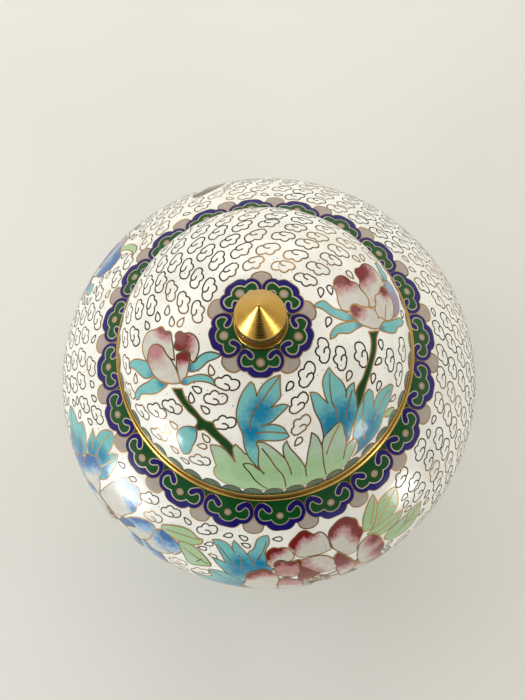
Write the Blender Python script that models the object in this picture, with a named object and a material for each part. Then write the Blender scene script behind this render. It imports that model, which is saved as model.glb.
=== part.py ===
"""A cloisonne ginger jar: an enamelled vessel with a brass foot, a brass mouth ring and a lid that lifts off.

Metres, +Z up. The origin is the middle of the foot's underside, on the surface that the jar stands on.
Every piece is turned about the Z axis from an outline given as (radius, height) points.
"""

import math

import bmesh
import bpy

# Driving sizes of the vessel
belly_radius = 0.090
belly_height = 0.088
shoulder_rise = 0.056
body_wall = 0.0024
floor_wall = 0.0026

# Driving sizes of the foot
foot_radius = 0.0500
foot_height = 0.0080
foot_wall = 0.0040
foot_step = 0.0012

# Driving sizes of the lid
lid_radius = 0.0502
lid_rise = 0.0260
lid_turn = math.radians(82.9)
lid_wall = 0.0022

# Driving sizes of the brass round the lid and the mouth
lid_rim_height = 0.0027
lid_rim_reveal = 0.0006
mouth_ring_reveal = 0.0024
mouth_ring_height = 0.0078
mouth_bead_radius = 0.0018
neck_height = 0.0049
neck_wall = 0.0019
lid_play = 0.0015

# Driving sizes of the finial
finial_radius = 0.0074
finial_drum_height = 0.0076
finial_cone_height = 0.0091
finial_tip_radius = 0.0007
finial_lip_radius = 0.0081
finial_lip_height = 0.0013
finial_groove_depth = 0.0005
finial_groove_height = 0.0006

# The seam kept between two pieces that touch, and the small round on a turned brass edge
seam = 0.0003
brass_edge_radius = 0.0005

# Fineness of the turned surfaces
body_segments = 60
finial_segments = 32
shoulder_steps = 8
underbelly_steps = 8
lid_steps = 7
edge_steps = 2
bead_steps = 3
sharp_angle = math.radians(35)

# Heights and radii that follow from the driving sizes
mouth_ring_radius = lid_radius + mouth_ring_reveal
lid_rim_radius = lid_radius + lid_rim_reveal
body_top = belly_height + shoulder_rise * math.sqrt(1 - (mouth_ring_radius / belly_radius) ** 2)
body_bottom_radius = foot_radius + foot_step
underbelly_drop = (belly_height - foot_height) / math.sqrt(1 - (body_bottom_radius / belly_radius) ** 2)
mouth_ring_bottom = body_top + seam
mouth_seat = mouth_ring_bottom + mouth_ring_height
lid_rim_bottom = mouth_seat + seam
lid_rim_top = lid_rim_bottom + lid_rim_height
lid_edge = lid_rim_top + seam
lid_semi_width = lid_radius / math.sin(lid_turn)
lid_semi_height = lid_rise / (1 - math.cos(lid_turn))
lid_centre = lid_edge - lid_semi_height * math.cos(lid_turn)
lid_top = lid_edge + lid_rise


def ellipse_radius(semi_width, semi_height, height):
    """Radius of an upright ellipse at a height above or below its widest line."""
    return semi_width * math.sqrt(1 - (height / semi_height) ** 2)


def ellipse_arc(semi_width, semi_height, centre, start, end, steps):
    """Points of an upright ellipse between two angles measured from its top."""
    points = []
    for step in range(steps + 1):
        angle = start + (end - start) * step / steps
        points.append((semi_width * math.sin(angle), centre + semi_height * math.cos(angle)))
    return points


def corner_arc(centre_radius, centre_height, size, start, end, steps):
    """Points of a small round about a corner's centre, angles measured from the +radius direction."""
    points = []
    for step in range(steps + 1):
        angle = math.radians(start + (end - start) * step / steps)
        points.append((centre_radius + size * math.cos(angle), centre_height + size * math.sin(angle)))
    return points


lid_inner_radius = ellipse_radius(lid_semi_width - lid_wall, lid_semi_height - lid_wall, lid_edge - lid_centre)
neck_radius = lid_inner_radius - lid_play
mouth_radius = neck_radius - neck_wall


def material(name, colour, roughness, metallic):
    """A plain finish for one piece."""
    finish = bpy.data.materials.new(name)
    finish.use_nodes = True
    shader = finish.node_tree.nodes["Principled BSDF"]
    shader.inputs["Base Color"].default_value = (*colour, 1.0)
    shader.inputs["Roughness"].default_value = roughness
    shader.inputs["Metallic"].default_value = metallic
    return finish


def turned(name, outline, segments, finish):
    """A solid turned about Z from an outline that runs on the outside from the top down, then back inside."""
    shape = bmesh.new()
    corners = [shape.verts.new((radius, 0.0, height)) for radius, height in outline]
    edges = [shape.edges.new(pair) for pair in zip(corners, corners[1:])]
    if outline[0][0] > 0 or outline[-1][0] > 0:
        edges.append(shape.edges.new((corners[-1], corners[0])))
    bmesh.ops.spin(shape, geom=corners + edges, cent=(0, 0, 0), axis=(0, 0, 1), angle=math.tau,
                   steps=segments, use_merge=True)
    bmesh.ops.remove_doubles(shape, verts=shape.verts, dist=1e-6)
    bmesh.ops.recalc_face_normals(shape, faces=shape.faces)
    mesh = bpy.data.meshes.new(name)
    shape.to_mesh(mesh)
    shape.free()
    mesh.shade_smooth()
    mesh.set_sharp_from_angle(angle=sharp_angle)
    mesh.materials.append(finish)
    piece = bpy.data.objects.new(name, mesh)
    bpy.context.scene.collection.objects.link(piece)
    return piece


def make_jar_body(finish):
    """The hollow vessel: shoulder, belly and underbelly outside, and the same form a wall smaller inside."""
    quarter = math.pi / 2
    mouth_turn = math.asin(mouth_ring_radius / belly_radius)
    shoulder = ellipse_arc(belly_radius, shoulder_rise, belly_height, mouth_turn, quarter, shoulder_steps)
    bottom_turn = math.pi - math.asin(body_bottom_radius / belly_radius)
    underbelly = ellipse_arc(belly_radius, underbelly_drop, belly_height, quarter, bottom_turn,
                             underbelly_steps)
    inner_radius = belly_radius - body_wall
    inner_rise = shoulder_rise - body_wall
    inner_drop = underbelly_drop - body_wall
    floor = foot_height + floor_wall
    floor_turn = math.pi - math.acos((belly_height - floor) / inner_drop)
    inner_mouth_turn = math.acos((body_top - belly_height) / inner_rise)
    inside_low = ellipse_arc(inner_radius, inner_drop, belly_height, floor_turn, quarter, underbelly_steps)
    inside_high = ellipse_arc(inner_radius, inner_rise, belly_height, quarter, inner_mouth_turn,
                              shoulder_steps)
    outline = shoulder + underbelly[1:] + [(0.0, foot_height), (0.0, floor)] + inside_low + inside_high[1:]
    return turned("jar_body", outline, body_segments, finish)


def make_foot_ring(finish):
    """The brass ring that the jar stands on."""
    top = foot_height - seam
    round_centre = foot_radius - brass_edge_radius
    outline = [(foot_radius, top)]
    outline += corner_arc(round_centre, brass_edge_radius, brass_edge_radius, 0, -90, edge_steps)
    outline += [(foot_radius - foot_wall, 0.0), (foot_radius - foot_wall, top)]
    return turned("foot_ring", outline, body_segments, finish)


def make_mouth_ring(finish):
    """The brass ring on the shoulder: a rounded seat for the lid, and a low neck that the lid fits over."""
    neck_top = mouth_seat + neck_height
    neck_round = min(brass_edge_radius, neck_wall / 2.5)
    bead_radius = min(mouth_bead_radius, mouth_ring_height / 1.5)
    outline = [(mouth_radius, neck_top)]
    outline += corner_arc(neck_radius - neck_round, neck_top - neck_round, neck_round, 90, 0, edge_steps)
    outline += [(neck_radius, mouth_seat)]
    outline += corner_arc(mouth_ring_radius - bead_radius, mouth_seat - bead_radius, bead_radius, 90, 0,
                          bead_steps)
    outline += [(mouth_ring_radius, mouth_ring_bottom), (mouth_radius, mouth_ring_bottom)]
    return turned("mouth_ring", outline, body_segments, finish)


def make_lid_rim(finish):
    """The brass band under the lid's edge, which rests on the seat of the mouth ring."""
    edge = brass_edge_radius
    outline = corner_arc(lid_rim_radius - edge, lid_rim_top - edge, edge, 90, 0, edge_steps)
    outline += corner_arc(lid_rim_radius - edge, lid_rim_bottom + edge, edge, 0, -90, edge_steps)
    outline += [(lid_inner_radius, lid_rim_bottom), (lid_inner_radius, lid_rim_top)]
    return turned("lid_rim", outline, body_segments, finish)


def make_lid(finish):
    """The hollow enamelled dome."""
    outside = ellipse_arc(lid_semi_width, lid_semi_height, lid_centre, 0, lid_turn, lid_steps)
    inner_height = lid_semi_height - lid_wall
    inner_turn = math.acos((lid_edge - lid_centre) / inner_height)
    inside = ellipse_arc(lid_semi_width - lid_wall, inner_height, lid_centre, inner_turn, 0, lid_steps)
    outline = outside + inside
    outline[0] = (0.0, outline[0][1])
    outline[-1] = (0.0, outline[-1][1])
    return turned("lid", outline, body_segments, finish)


def dome_height(radius):
    """Height of the lid's outer face at a radius."""
    return lid_centre + lid_semi_height * math.sqrt(1 - (radius / lid_semi_width) ** 2)


def make_finial(finish):
    """The turned brass knob: a lip and a fine groove, a drum, and a cone with a small round tip."""
    foot = dome_height(finial_lip_radius) + seam
    middle = lid_top + seam
    lip_top = middle + finial_lip_height
    groove_top = lip_top + finial_groove_height
    drum_top = groove_top + finial_drum_height
    groove_radius = finial_radius - finial_groove_depth
    slope = math.atan2(finial_radius, finial_cone_height)
    tip_centre = drum_top + finial_cone_height - finial_tip_radius / math.sin(slope)
    tip = corner_arc(0.0, tip_centre, finial_tip_radius, 90, math.degrees(slope), edge_steps)
    tip[0] = (0.0, tip[0][1])
    lip = corner_arc(finial_lip_radius - brass_edge_radius, lip_top - brass_edge_radius, brass_edge_radius,
                     90, 0, edge_steps)
    outline = tip + [(finial_radius, drum_top), (finial_radius, groove_top), (groove_radius, groove_top)]
    outline += [(groove_radius, lip_top)] + lip + [(finial_lip_radius, foot), (0.0, middle)]
    return turned("finial", outline, finial_segments, finish)


def main():
    for old in list(bpy.data.objects):
        bpy.data.objects.remove(old)
    make_jar_body(material("white_enamel", (0.86, 0.84, 0.77), 0.15, 0.0))
    make_lid(material("lid_enamel", (0.86, 0.84, 0.78), 0.15, 0.0))
    make_foot_ring(material("foot_brass", (0.72, 0.50, 0.19), 0.30, 1.0))
    make_mouth_ring(material("mouth_brass", (0.76, 0.53, 0.20), 0.25, 1.0))
    make_lid_rim(material("rim_brass", (0.76, 0.53, 0.20), 0.25, 1.0))
    make_finial(material("finial_brass", (0.80, 0.56, 0.20), 0.22, 1.0))


main()
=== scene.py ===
import bisect
import math
import random

import bmesh
import bpy
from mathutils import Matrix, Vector
from mathutils.geometry import delaunay_2d_cdt


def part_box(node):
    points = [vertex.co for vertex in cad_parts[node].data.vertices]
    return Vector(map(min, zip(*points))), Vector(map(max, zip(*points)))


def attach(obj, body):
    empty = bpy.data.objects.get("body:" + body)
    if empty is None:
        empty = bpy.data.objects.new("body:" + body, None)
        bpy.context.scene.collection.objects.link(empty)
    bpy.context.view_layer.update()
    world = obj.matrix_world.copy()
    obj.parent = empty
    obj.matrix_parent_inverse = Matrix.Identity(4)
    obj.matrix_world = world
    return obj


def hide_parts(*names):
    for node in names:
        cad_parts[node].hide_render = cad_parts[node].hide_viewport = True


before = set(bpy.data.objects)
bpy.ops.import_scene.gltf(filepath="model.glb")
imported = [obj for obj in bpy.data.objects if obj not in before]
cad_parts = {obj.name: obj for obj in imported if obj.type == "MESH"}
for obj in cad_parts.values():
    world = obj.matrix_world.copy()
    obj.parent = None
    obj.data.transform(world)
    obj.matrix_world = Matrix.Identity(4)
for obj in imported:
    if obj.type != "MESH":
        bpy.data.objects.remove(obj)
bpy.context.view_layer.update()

bl_info = {
    "name": "Cloisonne Ginger Jar",
    "version": (1, 0, 0),
    "blender": (4, 5, 0),
    "location": "View3D > Sidebar > Ginger Jar",
    "description": "Builds an enamelled ginger jar with brass fittings and a lid that lifts off",
    "category": "Add Mesh",
}

MM = 0.001
RING_SEGMENTS = 192
BODY = "root"


def srgb(red, green, blue):
    """A colour given as it looks on a screen, from 0 to 255, in the linear numbers that a shader takes."""
    parts = []
    for part in (red, green, blue):
        share = part / 255
        parts.append(share / 12.92 if share <= 0.04045 else ((share + 0.055) / 1.055) ** 2.4)
    return tuple(parts)


def length(name, description, default):
    """A size of the jar in metres."""
    return bpy.props.FloatProperty(name=name, description=description, default=default, min=0.0,
                                   precision=5, subtype="DISTANCE", unit="LENGTH")


def tint(name, description, red, green, blue):
    """A colour of the jar."""
    return bpy.props.FloatVectorProperty(name=name, description=description, subtype="COLOR", size=3,
                                         min=0.0, max=1.0, default=srgb(red, green, blue))


class JarSizes(bpy.types.PropertyGroup):
    """The sizes of the jar that its form, its brass and its enamel follow"""
    belly_radius: length("Belly radius", "Radius at the widest line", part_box("jar_body")[1].x)
    belly_height: length("Belly height", "Height of the widest line", 0.088)
    body_wall: length("Body wall", "Thickness of the vessel's wall", 0.0024)
    body_bottom_radius: length("Bottom radius", "Radius of the vessel where it meets the foot", 0.0512)
    lid_wall: length("Lid wall", "Thickness of the dome's wall", 0.0022)
    lid_turn: bpy.props.FloatProperty(name="Lid turn",
                                      description="How far the dome's curve turns from its top",
                                      default=math.radians(82.9), subtype="ANGLE", unit="ROTATION")
    foot_wall: length("Foot wall", "Thickness of the foot ring", 0.0040)
    bead_radius: length("Bead radius", "Round on the mouth ring's outer edge", 0.0018)
    neck_height: length("Neck height", "Height of the neck above the lid's seat", 0.0049)
    neck_wall: length("Neck wall", "Thickness of the neck", 0.0019)
    lid_play: length("Lid play", "Gap between the neck and the inside of the lid", 0.0015)
    finial_radius: length("Finial radius", "Radius of the knob's drum", 0.0074)
    finial_lip_height: length("Finial lip height", "Height of the lip under the knob", 0.0013)
    finial_groove: length("Finial groove", "Height of the groove above the lip", 0.0006)
    finial_cone: length("Finial cone", "Height of the knob's cone", 0.0091)
    cloud_length: length("Cloud length", "Length of one cloud on the vessel", 0.0078)
    wire_width: length("Wire width", "Width of the wires between the enamels", 0.00046)


class JarColours(bpy.types.PropertyGroup):
    """The colours of the jar's enamels and metals"""
    ground: tint("Ground", "White ground behind the clouds", 247, 245, 234)
    speck: tint("Specks", "Pinholes in the white ground", 74, 64, 48)
    lining: tint("Lining", "Enamel inside and underneath", 96, 176, 180)
    cobalt: tint("Cobalt", "Ruyi heads", 16, 8, 104)
    green: tint("Green", "Ground of the borders", 2, 78, 30)
    teal: tint("Teal", "Bluer patches in the green", 0, 92, 74)
    lilac: tint("Lilac", "Dots and half-rounds of the borders", 176, 163, 150)
    turquoise: tint("Turquoise", "Leaves", 118, 190, 188)
    deep_teal: tint("Deep teal", "Heart of the turquoise leaves", 4, 126, 162)
    pale_green: tint("Pale green", "Broad leaves", 165, 199, 148)
    grey_green: tint("Grey green", "Upper part of the broad leaves", 176, 200, 176)
    stem: tint("Stem", "Stems", 2, 66, 18)
    crimson: tint("Crimson", "Edge of the red petals", 122, 28, 26)
    pink: tint("Pink", "Middle of the red petals", 184, 128, 126)
    petal: tint("Petal", "Inner part of the petals", 208, 204, 190)
    sky: tint("Sky", "Middle of the blue petals", 124, 174, 208)
    blue: tint("Blue", "Edge of the blue petals", 14, 96, 162)
    mauve: tint("Mauve", "Mauve petals", 150, 132, 168)
    bark: tint("Bark", "Branches", 84, 68, 40)
    wire: tint("Wire", "Dark wires", 38, 28, 17)
    gilt: tint("Gilt", "Wires that kept their gold", 182, 140, 82)
    silver: tint("Pale wire", "Wires in the dark enamels", 204, 194, 162)
    brass: tint("Brass", "Turned brass", 217, 172, 82)
    tarnish: tint("Tarnish", "Reddish tarnish in the hollows of the brass", 132, 72, 30)


def sizes():
    """The jar's sizes as they are set."""
    return bpy.context.scene.jar_sizes


def colour(name):
    """One of the jar's colours, as a shader takes it."""
    return (*getattr(bpy.context.scene.jar_colours, name), 1.0)


# Materials

class Value:
    """A number that varies over a surface, with the sums that a material does on it."""

    def __init__(self, finish, socket):
        self.finish = finish
        self.socket = socket

    def __add__(self, other):
        return self.finish.maths("ADD", self, other)

    def __radd__(self, other):
        return self.finish.maths("ADD", other, self)

    def __sub__(self, other):
        return self.finish.maths("SUBTRACT", self, other)

    def __rsub__(self, other):
        return self.finish.maths("SUBTRACT", other, self)

    def __mul__(self, other):
        return self.finish.maths("MULTIPLY", self, other)

    def __rmul__(self, other):
        return self.finish.maths("MULTIPLY", other, self)

    def __lt__(self, other):
        return self.finish.maths("LESS_THAN", self, other)


class Finish:
    """A material, built from plain values on its shader and from the nodes that vary over the surface."""

    def __init__(self, name, **plain):
        self.material = bpy.data.materials.new(name)
        self.material.use_nodes = True
        self.tree = self.material.node_tree
        self.shader = self.tree.nodes["Principled BSDF"]
        for socket, number in plain.items():
            self.shader.inputs[socket.replace("_", " ")].default_value = number

    def node(self, kind, settings=None, inputs=None, output=0):
        """A new node: its settings first, then the numbers or links of its sockets."""
        made = self.tree.nodes.new(kind)
        for name, setting in (settings or {}).items():
            if name == "stops":
                self.set_stops(made.color_ramp.elements, setting)
            else:
                setattr(made, name, setting)
        for name, value in (inputs or {}).items():
            self.feed(made.inputs[name], value)
        return Value(self, made.outputs[output])

    def set_stops(self, elements, stops):
        """A colour ramp's stops, given as (place, colour) in order."""
        while len(elements) > 1:
            elements.remove(elements[-1])
        elements[0].position, elements[0].color = stops[0]
        for place, shade in stops[1:]:
            elements.new(place).color = shade

    def feed(self, socket, value):
        """A number or another node's result into a socket."""
        if isinstance(value, Value):
            self.tree.links.new(value.socket, socket)
        else:
            socket.default_value = value

    def maths(self, operation, first, second):
        """A sum of two numbers or results."""
        return self.node("ShaderNodeMath", {"operation": operation}, {0: first, 1: second})

    def mix(self, share, first, second):
        """Two colours mixed by a share from 0 to 1."""
        return self.node("ShaderNodeMix", {"data_type": "RGBA"}, {0: share, 6: first, 7: second}, output=2)

    def place(self):
        """Where a point of the surface is, in metres."""
        return self.node("ShaderNodeTexCoord", output="Object")

    def noise(self, size, detail=2.0, stretch=None):
        """Soft noise with features of about that size in metres, around 0.5."""
        where = self.place()
        if stretch:
            where = self.node("ShaderNodeMapping", None, {"Vector": where, "Scale": stretch})
        return self.node("ShaderNodeTexNoise", None, {"Vector": where, "Scale": 1 / size, "Detail": detail})

    def ramp(self, value, stops):
        """A colour that follows a value from 0 to 1."""
        return self.node("ShaderNodeValToRGB", {"stops": stops}, {"Fac": value})

    def span(self, value, low, high, to_low=0.0, to_high=1.0):
        """A value's range brought to another, and held at its ends."""
        return self.node("ShaderNodeMapRange", {"clamp": True}, {
            "Value": value, "From Min": low, "From Max": high, "To Min": to_low, "To Max": to_high})

    def colour(self, value):
        """What the material's colour follows."""
        self.feed(self.shader.inputs["Base Color"], value)

    def roughness(self, value):
        """What the material's roughness follows."""
        self.feed(self.shader.inputs["Roughness"], value)

    def bump(self, height, distance):
        """Fine relief of that height in metres, by its shading alone."""
        bumped = self.node("ShaderNodeBump", None, {"Height": height, "Strength": 1.0, "Distance": distance})
        self.feed(self.shader.inputs["Normal"], bumped)


def pinholes(finish, cell, radius):
    """1 in the small round pits that fired enamel has, 0 elsewhere."""
    spot = finish.node("ShaderNodeTexVoronoi", {"feature": "F1"},
                       {"Vector": finish.place(), "Scale": 1 / cell}, output="Distance")
    patchy = finish.span(finish.noise(0.012, 3.0), 0.42, 0.62)
    return (spot < radius) * (patchy * 0.8 + 0.2)


def enamel(name, stops, pits=0.06, drift=0.10):
    """Glossy fired enamel whose colour runs through the stops as the piece's shade goes from 0 to 1."""
    finish = Finish(name, Coat_Weight=0.25, Coat_Roughness=0.04, IOR=1.45)
    shade = finish.node("ShaderNodeAttribute", {"attribute_name": "shade"}, output="Fac")
    wander = (finish.noise(0.004, 3.0) - 0.5) * 0.5 + (finish.noise(0.0011, 2.0) - 0.5) * 0.45
    base = finish.ramp(shade + wander, stops)
    cloudy = finish.span(finish.noise(0.0025, 4.0), 0.35, 0.70, 0.0, drift)
    darker = finish.mix(cloudy, base, colour("speck"))
    finish.colour(finish.mix(pinholes(finish, 0.0021, pits) * 0.75, darker, colour("speck")))
    finish.roughness(finish.span(finish.noise(0.006, 2.0), 0.3, 0.7, 0.14, 0.24))
    finish.bump(finish.noise(0.009, 2.0), 0.00012)
    return finish.material


def plain_enamel(name, shade, other, pits, drift):
    """Glossy enamel of one colour that drifts softly to another, with pits."""
    finish = Finish(name, Coat_Weight=0.25, Coat_Roughness=0.04, IOR=1.45)
    patch = finish.span(finish.noise(0.011, 3.0), 0.45, 0.65, 0.0, drift)
    base = finish.mix(patch, colour(shade), colour(other))
    finish.colour(finish.mix(pinholes(finish, 0.0019, pits) * 0.8, base, colour("speck")))
    finish.roughness(finish.span(finish.noise(0.006, 2.0), 0.3, 0.7, 0.13, 0.22))
    finish.bump(finish.noise(0.010, 2.0), 0.00012)
    return finish.material


def wire_metal(name, dark, bright, share):
    """Fine metal wire, tarnished dark with some stretches that kept their colour."""
    finish = Finish(name, Metallic=0.55)
    kept = finish.span(finish.noise(0.022, 3.0), 0.46, 0.64, 0.0, share)
    finish.colour(finish.mix(kept, colour(dark), colour(bright)))
    finish.roughness(finish.span(kept, 0.0, 1.0, 0.42, 0.28))
    return finish.material


def brass_metal(name, rough, line_pitch, anisotropy):
    """Turned brass: fine rings from the lathe, with reddish tarnish in patches."""
    finish = Finish(name, Metallic=1.0, Anisotropic=anisotropy)
    rings = finish.noise(line_pitch, 3.0, stretch=(0.02, 0.02, 1.0))
    patch = finish.span(finish.noise(0.010, 4.0), 0.52, 0.75, 0.0, 0.45)
    finish.colour(finish.mix(patch, colour("brass"), colour("tarnish")))
    finish.roughness(finish.span(rings, 0.3, 0.7, rough - 0.05, rough + 0.06))
    finish.bump(rings, 0.00002)
    return finish.material


def jar_enamels():
    """The inlaid enamels by name, each with how its colour runs from a cell's dark heart outwards."""
    ramps = {
        "lilac": [(0.0, "lilac"), (1.0, "lilac")],
        "green": [(0.0, "green"), (0.75, "green"), (1.0, "teal")],
        "cobalt": [(0.0, "cobalt"), (1.0, "cobalt")],
        "turquoise": [(0.0, "deep_teal"), (0.22, "deep_teal"), (0.85, "turquoise"), (1.0, "turquoise")],
        "leaf": [(0.0, "grey_green"), (0.5, "pale_green"), (1.0, "pale_green")],
        "stem": [(0.0, "stem"), (1.0, "stem")],
        "red": [(0.0, "crimson"), (0.34, "crimson"), (0.56, "pink"), (0.92, "petal"), (1.0, "petal")],
        "rose": [(0.0, "pink"), (0.40, "pink"), (1.0, "petal")],
        "blush": [(0.0, "crimson"), (0.22, "pink"), (0.60, "pink"), (1.0, "petal")],
        "blue": [(0.0, "blue"), (0.42, "blue"), (0.68, "sky"), (0.96, "petal"), (1.0, "petal")],
        "mauve": [(0.0, "sky"), (1.0, "mauve")],
        "bark": [(0.0, "bark"), (1.0, "bark")],
    }
    made = {}
    for name, stops in ramps.items():
        made[name] = enamel("inlay_" + name, [(place, colour(shade)) for place, shade in stops])
    return made


def jar_wires():
    """The wires' metals by name."""
    return {
        "dark": wire_metal("wire_dark", "wire", "gilt", 0.80),
        "warm": wire_metal("wire_warm", "gilt", "wire", 0.70),
        "pale": wire_metal("wire_pale", "silver", "gilt", 0.45),
        "gold": wire_metal("wire_gold", "gilt", "silver", 0.35),
    }


# Faces that the enamel lies on

def arc(semi_width, semi_height, centre, start, end, steps):
    """Points of an upright ellipse, in mm, between two angles measured from its top."""
    points = []
    for step in range(steps + 1):
        angle = start + (end - start) * step / steps
        points.append((semi_width * math.sin(angle), centre + semi_height * math.cos(angle)))
    return points


class Face:
    """An enamelled face turned about the axis. A way is a distance in mm down its outline from the top."""

    def __init__(self, outline, start):
        self.outline = outline
        self.start = start
        self.ways = [0.0]
        for (r0, z0), (r1, z1) in zip(outline, outline[1:]):
            self.ways.append(self.ways[-1] + math.hypot(r1 - r0, z1 - z0))

    def span(self, way):
        """The outline's span that holds a way, and how far along it the way is."""
        index = min(max(bisect.bisect_right(self.ways, way) - 1, 0), len(self.ways) - 2)
        share = (way - self.ways[index]) / (self.ways[index + 1] - self.ways[index])
        return index, share

    def radius(self, way):
        """The face's radius at a way."""
        index, share = self.span(way)
        return self.outline[index][0] * (1 - share) + self.outline[index + 1][0] * share

    def slope(self, index):
        """Outward direction at one of the outline's points."""
        before = self.outline[max(index - 1, 0)]
        after = self.outline[min(index + 1, len(self.outline) - 1)]
        return Vector((before[1] - after[1], after[0] - before[0])).normalized()

    def place(self, azimuth, way, stand):
        """A point that stands that many mm off the face, and the direction out of the face there."""
        index, share = self.span(way)
        outward = self.slope(index).lerp(self.slope(index + 1), share).normalized()
        height = self.outline[index][1] * (1 - share) + self.outline[index + 1][1] * share
        around = Vector((math.cos(azimuth), math.sin(azimuth), 0))
        normal = around * outward.x + Vector((0, 0, outward.y))
        point = around * self.radius(way) + Vector((0, 0, height))
        return (point + normal * stand) * MM, normal

    def plan(self, azimuth, way):
        """Where a point is when the face is pressed flat, to see what lies over what."""
        return (self.start + way) * math.cos(azimuth), (self.start + way) * math.sin(azimuth)

    def wrapped(self, anchor):
        """For motifs drawn as (mm across, mm down) from an azimuth in degrees."""
        def chart(flat):
            return math.radians(anchor) + flat[0] / self.radius(flat[1]), flat[1]
        return chart

    def pressed(self):
        """For motifs drawn as (x, y) on the face pressed flat from above."""
        def chart(flat):
            return math.atan2(flat[1], flat[0]), math.hypot(flat[0], flat[1])
        return chart


def shoulder_rise():
    """How far the shoulder's ellipse would rise above the belly, in metres."""
    radius = sizes().belly_radius
    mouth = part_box("mouth_ring")[1].x
    return (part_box("jar_body")[1].z - sizes().belly_height) / math.sqrt(1 - (mouth / radius) ** 2)


def underbelly_drop():
    """How far the underbelly's ellipse would drop below the belly, in metres."""
    height = sizes().belly_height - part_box("jar_body")[0].z
    return height / math.sqrt(1 - (sizes().body_bottom_radius / sizes().belly_radius) ** 2)


def lid_ellipse():
    """The dome's half width, half height and centre height, in metres."""
    low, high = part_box("lid")
    turn = sizes().lid_turn
    half_height = (high.z - low.z) / (1 - math.cos(turn))
    return high.x / math.sin(turn), half_height, low.z - half_height * math.cos(turn)


def body_face():
    """The vessel's outer face, from the mouth ring's edge down to the foot."""
    radius, belly = sizes().belly_radius / MM, sizes().belly_height / MM
    mouth_turn = math.asin(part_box("mouth_ring")[1].x / sizes().belly_radius)
    bottom_turn = math.pi - math.asin(sizes().body_bottom_radius / sizes().belly_radius)
    upper = arc(radius, shoulder_rise() / MM, belly, mouth_turn, math.pi / 2, 160)
    lower = arc(radius, underbelly_drop() / MM, belly, math.pi / 2, bottom_turn, 200)
    return Face(upper + lower[1:], start=60.0)


def lid_face():
    """The dome's outer face, from the axis down to its edge."""
    half_width, half_height, centre = (size / MM for size in lid_ellipse())
    return Face(arc(half_width, half_height, centre, 0.0, sizes().lid_turn, 200), start=0.0)


# Flat drawing

def curve(points, closed=True, step=0.7):
    """A smooth line through the points, with points about a step apart. A third value marks a corner."""
    count = len(points)
    places = [Vector(point[:2]) for point in points]
    ends = [0, count - 1]
    sharp = [len(point) > 2 or (not closed and index in ends) for index, point in enumerate(points)]

    def heading(index):
        """The way the line runs through a point that isn't a corner."""
        back = places[index] - places[index - 1]
        on = places[(index + 1) % count] - places[index]
        return (back.normalized() * on.length + on.normalized() * back.length).normalized()

    line = []
    for index in range(count if closed else count - 1):
        after = (index + 1) % count
        start, end = places[index], places[after]
        chord = end - start
        along = chord.normalized()
        leave = along if sharp[index] else heading(index)
        arrive = along if sharp[after] else heading(after)
        if sharp[index] and not sharp[after]:
            leave = 2 * arrive.dot(along) * along - arrive
        if sharp[after] and not sharp[index]:
            arrive = 2 * leave.dot(along) * along - leave
        steps = max(1, math.ceil(chord.length / step))
        for turn in range(steps):
            t = turn / steps
            line.append((2 * t ** 3 - 3 * t ** 2 + 1) * start + (3 * t ** 2 - 2 * t ** 3) * end
                        + (t ** 3 - 2 * t ** 2 + t) * chord.length * leave
                        + (t ** 3 - t ** 2) * chord.length * arrive)
    if not closed:
        line.append(places[-1])
    return line


def round_outline(centre, radius, count=16):
    """A circle's points."""
    return [Vector((centre[0] + radius * math.cos(math.tau * step / count),
                    centre[1] + radius * math.sin(math.tau * step / count))) for step in range(count)]


def ribbon(line, width, closed):
    """The flat shape of a wire along a line: its points on both sides, and its faces."""
    count = len(line)
    points, faces = [], []
    for index, here in enumerate(line):
        before = line[index - 1] if closed or index else None
        after = line[(index + 1) % count] if closed or index < count - 1 else None
        come = (here - before).normalized() if before is not None else None
        go = (after - here).normalized() if after is not None else come
        come = come if come is not None else go
        middle = come + go
        middle = middle.normalized() if middle.length > 0.05 else go
        reach = width / 2 / max(0.6, middle.dot(go))
        side = Vector((-middle.y, middle.x)) * reach
        points += [here + side, here - side]
    for index in range(count if closed else count - 1):
        after = (index + 1) % count
        faces.append((2 * index, 2 * index + 1, 2 * after + 1, 2 * after))
    return points, faces


def inside(point, outline):
    """True where a flat point lies inside a closed outline."""
    x, y = point
    found = False
    for (x0, y0), (x1, y1) in zip(outline, outline[1:] + outline[:1]):
        if (y0 > y) != (y1 > y) and x < (x1 - x0) * (y - y0) / (y1 - y0) + x0:
            found = not found
    return found


class Plates:
    """Thin plates that become one mesh."""

    def __init__(self):
        self.points, self.normals, self.shades = [], [], []
        self.faces, self.fills = [], []

    def add(self, spots, faces, fill, shades):
        """Plates whose points are given as (point, direction outwards)."""
        base = len(self.points)
        self.points += [point for point, _ in spots]
        self.normals += [normal for _, normal in spots]
        self.shades += shades
        for corners in faces:
            a, b, c = (spots[corner][0] for corner in corners[:3])
            if (b - a).cross(c - a).dot(spots[corners[0]][1]) < 0:
                corners = corners[::-1]
            self.faces.append([base + corner for corner in corners])
            self.fills.append(fill)

    def piece(self, name, finishes, slot):
        """The plates as one object that rides on the jar."""
        used = sorted(set(self.fills))
        mesh = bpy.data.meshes.new(name)
        mesh.from_pydata(self.points, [], self.faces)
        for fill in used:
            mesh.materials.append(finishes[fill])
        mesh.polygons.foreach_set("material_index", [used.index(fill) for fill in self.fills])
        mesh.polygons.foreach_set("use_smooth", [True] * len(self.faces))
        mesh.attributes.new("shade", "FLOAT", "POINT").data.foreach_set("value", self.shades)
        mesh.normals_split_custom_set_from_vertices(self.normals)
        mesh.update()
        piece = bpy.data.objects.new(name, mesh)
        bpy.context.scene.collection.objects.link(piece)
        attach(piece, BODY)
        return piece


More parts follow.
